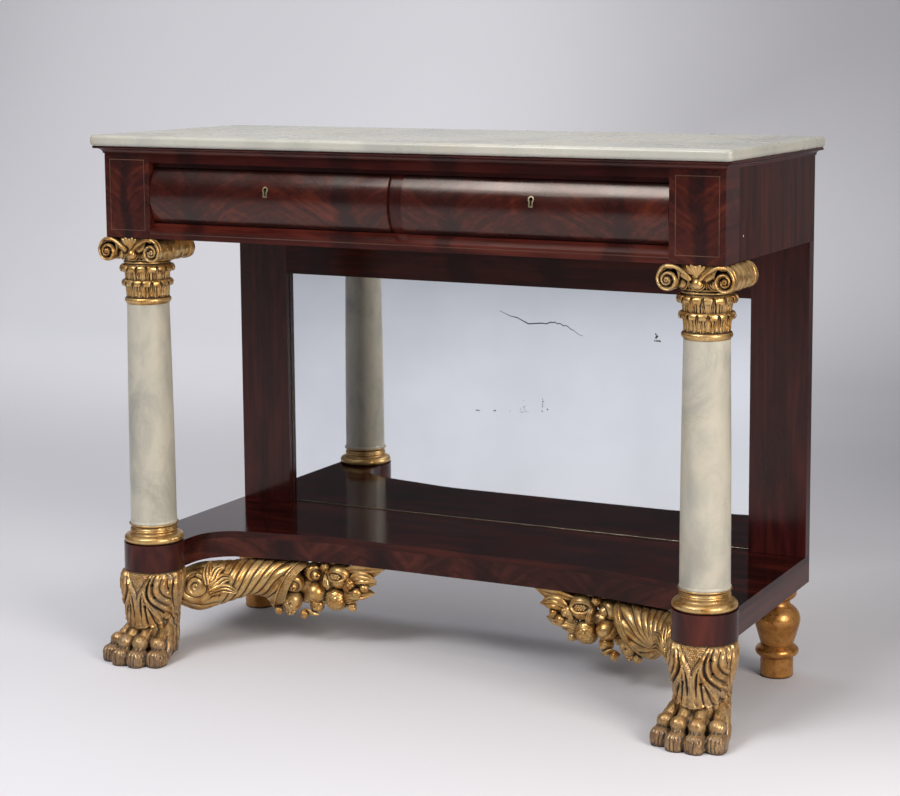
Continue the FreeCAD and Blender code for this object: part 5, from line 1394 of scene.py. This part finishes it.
def backdrop():
    """Floor that sweeps up into a wall far behind."""
    line = [(NEAR, 0.0), (FAR, 0.0)]
    for a in (math.pi / 2 * i / BEND_STEPS for i in range(1, BEND_STEPS + 1)):
        line.append((FAR + BEND * math.sin(a), BEND - BEND * math.cos(a)))
    line.append((FAR + BEND, TOP))
    verts = [(x, y, z) for y, z in line for x in (-REACH, REACH)]
    made = add_object("backdrop", verts, [(i, i + 1, i + 3, i + 2) for i in range(0, len(verts) - 2, 2)])
    for polygon in made.data.polygons:
        polygon.use_smooth = True
    g = Graph("backdrop_paper")
    p = g.object_coords()
    x, y, z = g.axes(p)
    # Painted shade where the photograph's room is darker: to the right and towards the back, a painted shadow behind
    # the table's right side, and the floor near the side lamp.
    shade = g.span(x, -2.4, 2.2) * (g.span(y, 0.2, 2.2) * g.span(y, 3.0, 4.8, 1, 0.5))
    shade = shade | g.span(x, 0, 1) * g.span(y, -0.3, 0.6, 0, 0.5)
    shade = shade | g.span(x, 1.3, 2.4, 0, 0.66) * g.span(y, 0.8, 2.6, 1, 0)
    colour = g.mix(g.span(g.noise(p, 0.8, 2.0), 0.3, 0.7), (210, 209, 214), (214, 213, 218))
    rays = g.node("LightPath").outputs
    camera, glossy, through = (Value(g, rays[f"Is {kind} Ray"]) for kind in ("Camera", "Glossy", "Transmission"))
    seen = g.math("ADD", camera + glossy, through, clamp=True)
    # Painted light: the wall and the floor in front glow for camera rays, reflections and rays through glass only, and
    # light nothing else.
    right = g.span(x, -2.6, -0.6, 1, 0) | g.span(x, -2.6, 1.5, 1, 0) * g.span(z, 0.1, 1.2, 1, 0)
    glow = g.span(x, -7.4, -3.6) * right * g.span(y, 0.6, 3.0) * WALL_GLOW + g.span(y, -4.6, -1.5, FRONT_GLOW, 0)
    made.data.materials.append(g.finish(Base_Color=g.mix(shade, colour, (96, 95, 99)), Roughness=0.9,
                                        Specular_IOR_Level=0.2, Emission_Color=(232, 232, 238),
                                        Emission_Strength=seen * glow))


def world():
    """A dim studio, brighter overhead than at the level of the horizon."""
    sky = bpy.data.worlds.new("studio")
    bpy.context.scene.world = sky
    sky.use_nodes = True
    made = sky.node_tree.nodes
    links = sky.node_tree.links
    ground = made["Background"]
    ground.inputs["Color"].default_value = (0.88, 0.90, 0.94, 1)
    split = made.new("ShaderNodeSeparateXYZ")
    links.new(made.new("ShaderNodeTexCoord").outputs["Generated"], split.inputs[0])
    level = made.new("ShaderNodeMapRange")
    for key, value in (("From Min", 0.25), ("From Max", 0.85), ("To Min", HORIZON_LIGHT), ("To Max", OVERHEAD_LIGHT)):
        level.inputs[key].default_value = value
    links.new(split.outputs["Z"], level.inputs["Value"])
    links.new(level.outputs["Result"], ground.inputs["Strength"])


def lamp(name, where, target, size, energy, colour=(1, 1, 1)):
    data = bpy.data.lights.new(name, "AREA")
    data.shape = "RECTANGLE"
    data.size, data.size_y = size
    data.energy = energy
    data.color = colour
    made = bpy.data.objects.new(name, data)
    made.location = where
    made.rotation_euler = (Vector(where) - Vector(target)).to_track_quat("Z", "Y").to_euler()
    bpy.context.scene.collection.objects.link(made)


def camera():
    """Solved from the photograph: its size, focal length and principal point in pixels, and where the view is from."""
    width, height = 900.0, 796.0
    focal, centre_x, centre_y = 2048.75, 550.0, 300.0
    yaw, pitch, roll = 0.4372, 0.1268, -0.0014
    where = (1.64634, -3.11239, 1.10473)
    forward = np.array([-math.sin(yaw), math.cos(yaw), 0.0])
    right = np.array([math.cos(yaw), math.sin(yaw), 0.0])
    ahead = forward * math.cos(pitch) - UP * math.sin(pitch)
    above = forward * math.sin(pitch) + UP * math.cos(pitch)
    across = right * math.cos(roll) + above * math.sin(roll)
    above = above * math.cos(roll) - right * math.sin(roll)
    data = bpy.data.cameras.new("photo_camera")
    data.sensor_fit = "HORIZONTAL"
    data.sensor_width = 36.0
    data.lens = focal / width * data.sensor_width
    data.shift_x = (width / 2 - centre_x) / width
    data.shift_y = (centre_y - height / 2) / width
    data.clip_start, data.clip_end = 0.1, 100.0
    made = bpy.data.objects.new("photo_camera", data)
    turn = Matrix(np.column_stack([across, above, -ahead]).tolist()).to_4x4()
    made.matrix_world = Matrix.Translation(where) @ turn
    bpy.context.scene.collection.objects.link(made)
    bpy.context.scene.camera = made


backdrop()
world()
lamp("key", (-1.05, -2.9, 3.35), (0, 0, 0.5), (1.7, 1.3), 94)
lamp("side", (3.2, -1.6, 1.7), (0.4, 0, 0.5), (1.6, 1.8), 112, (1.0, 0.93, 0.84))
lamp("top", (-0.4, -0.1, 4.2), (0, 0, 0.5), (4.0, 3.0), 58)
camera()

view = bpy.context.scene.view_settings
view.view_transform = "Standard"
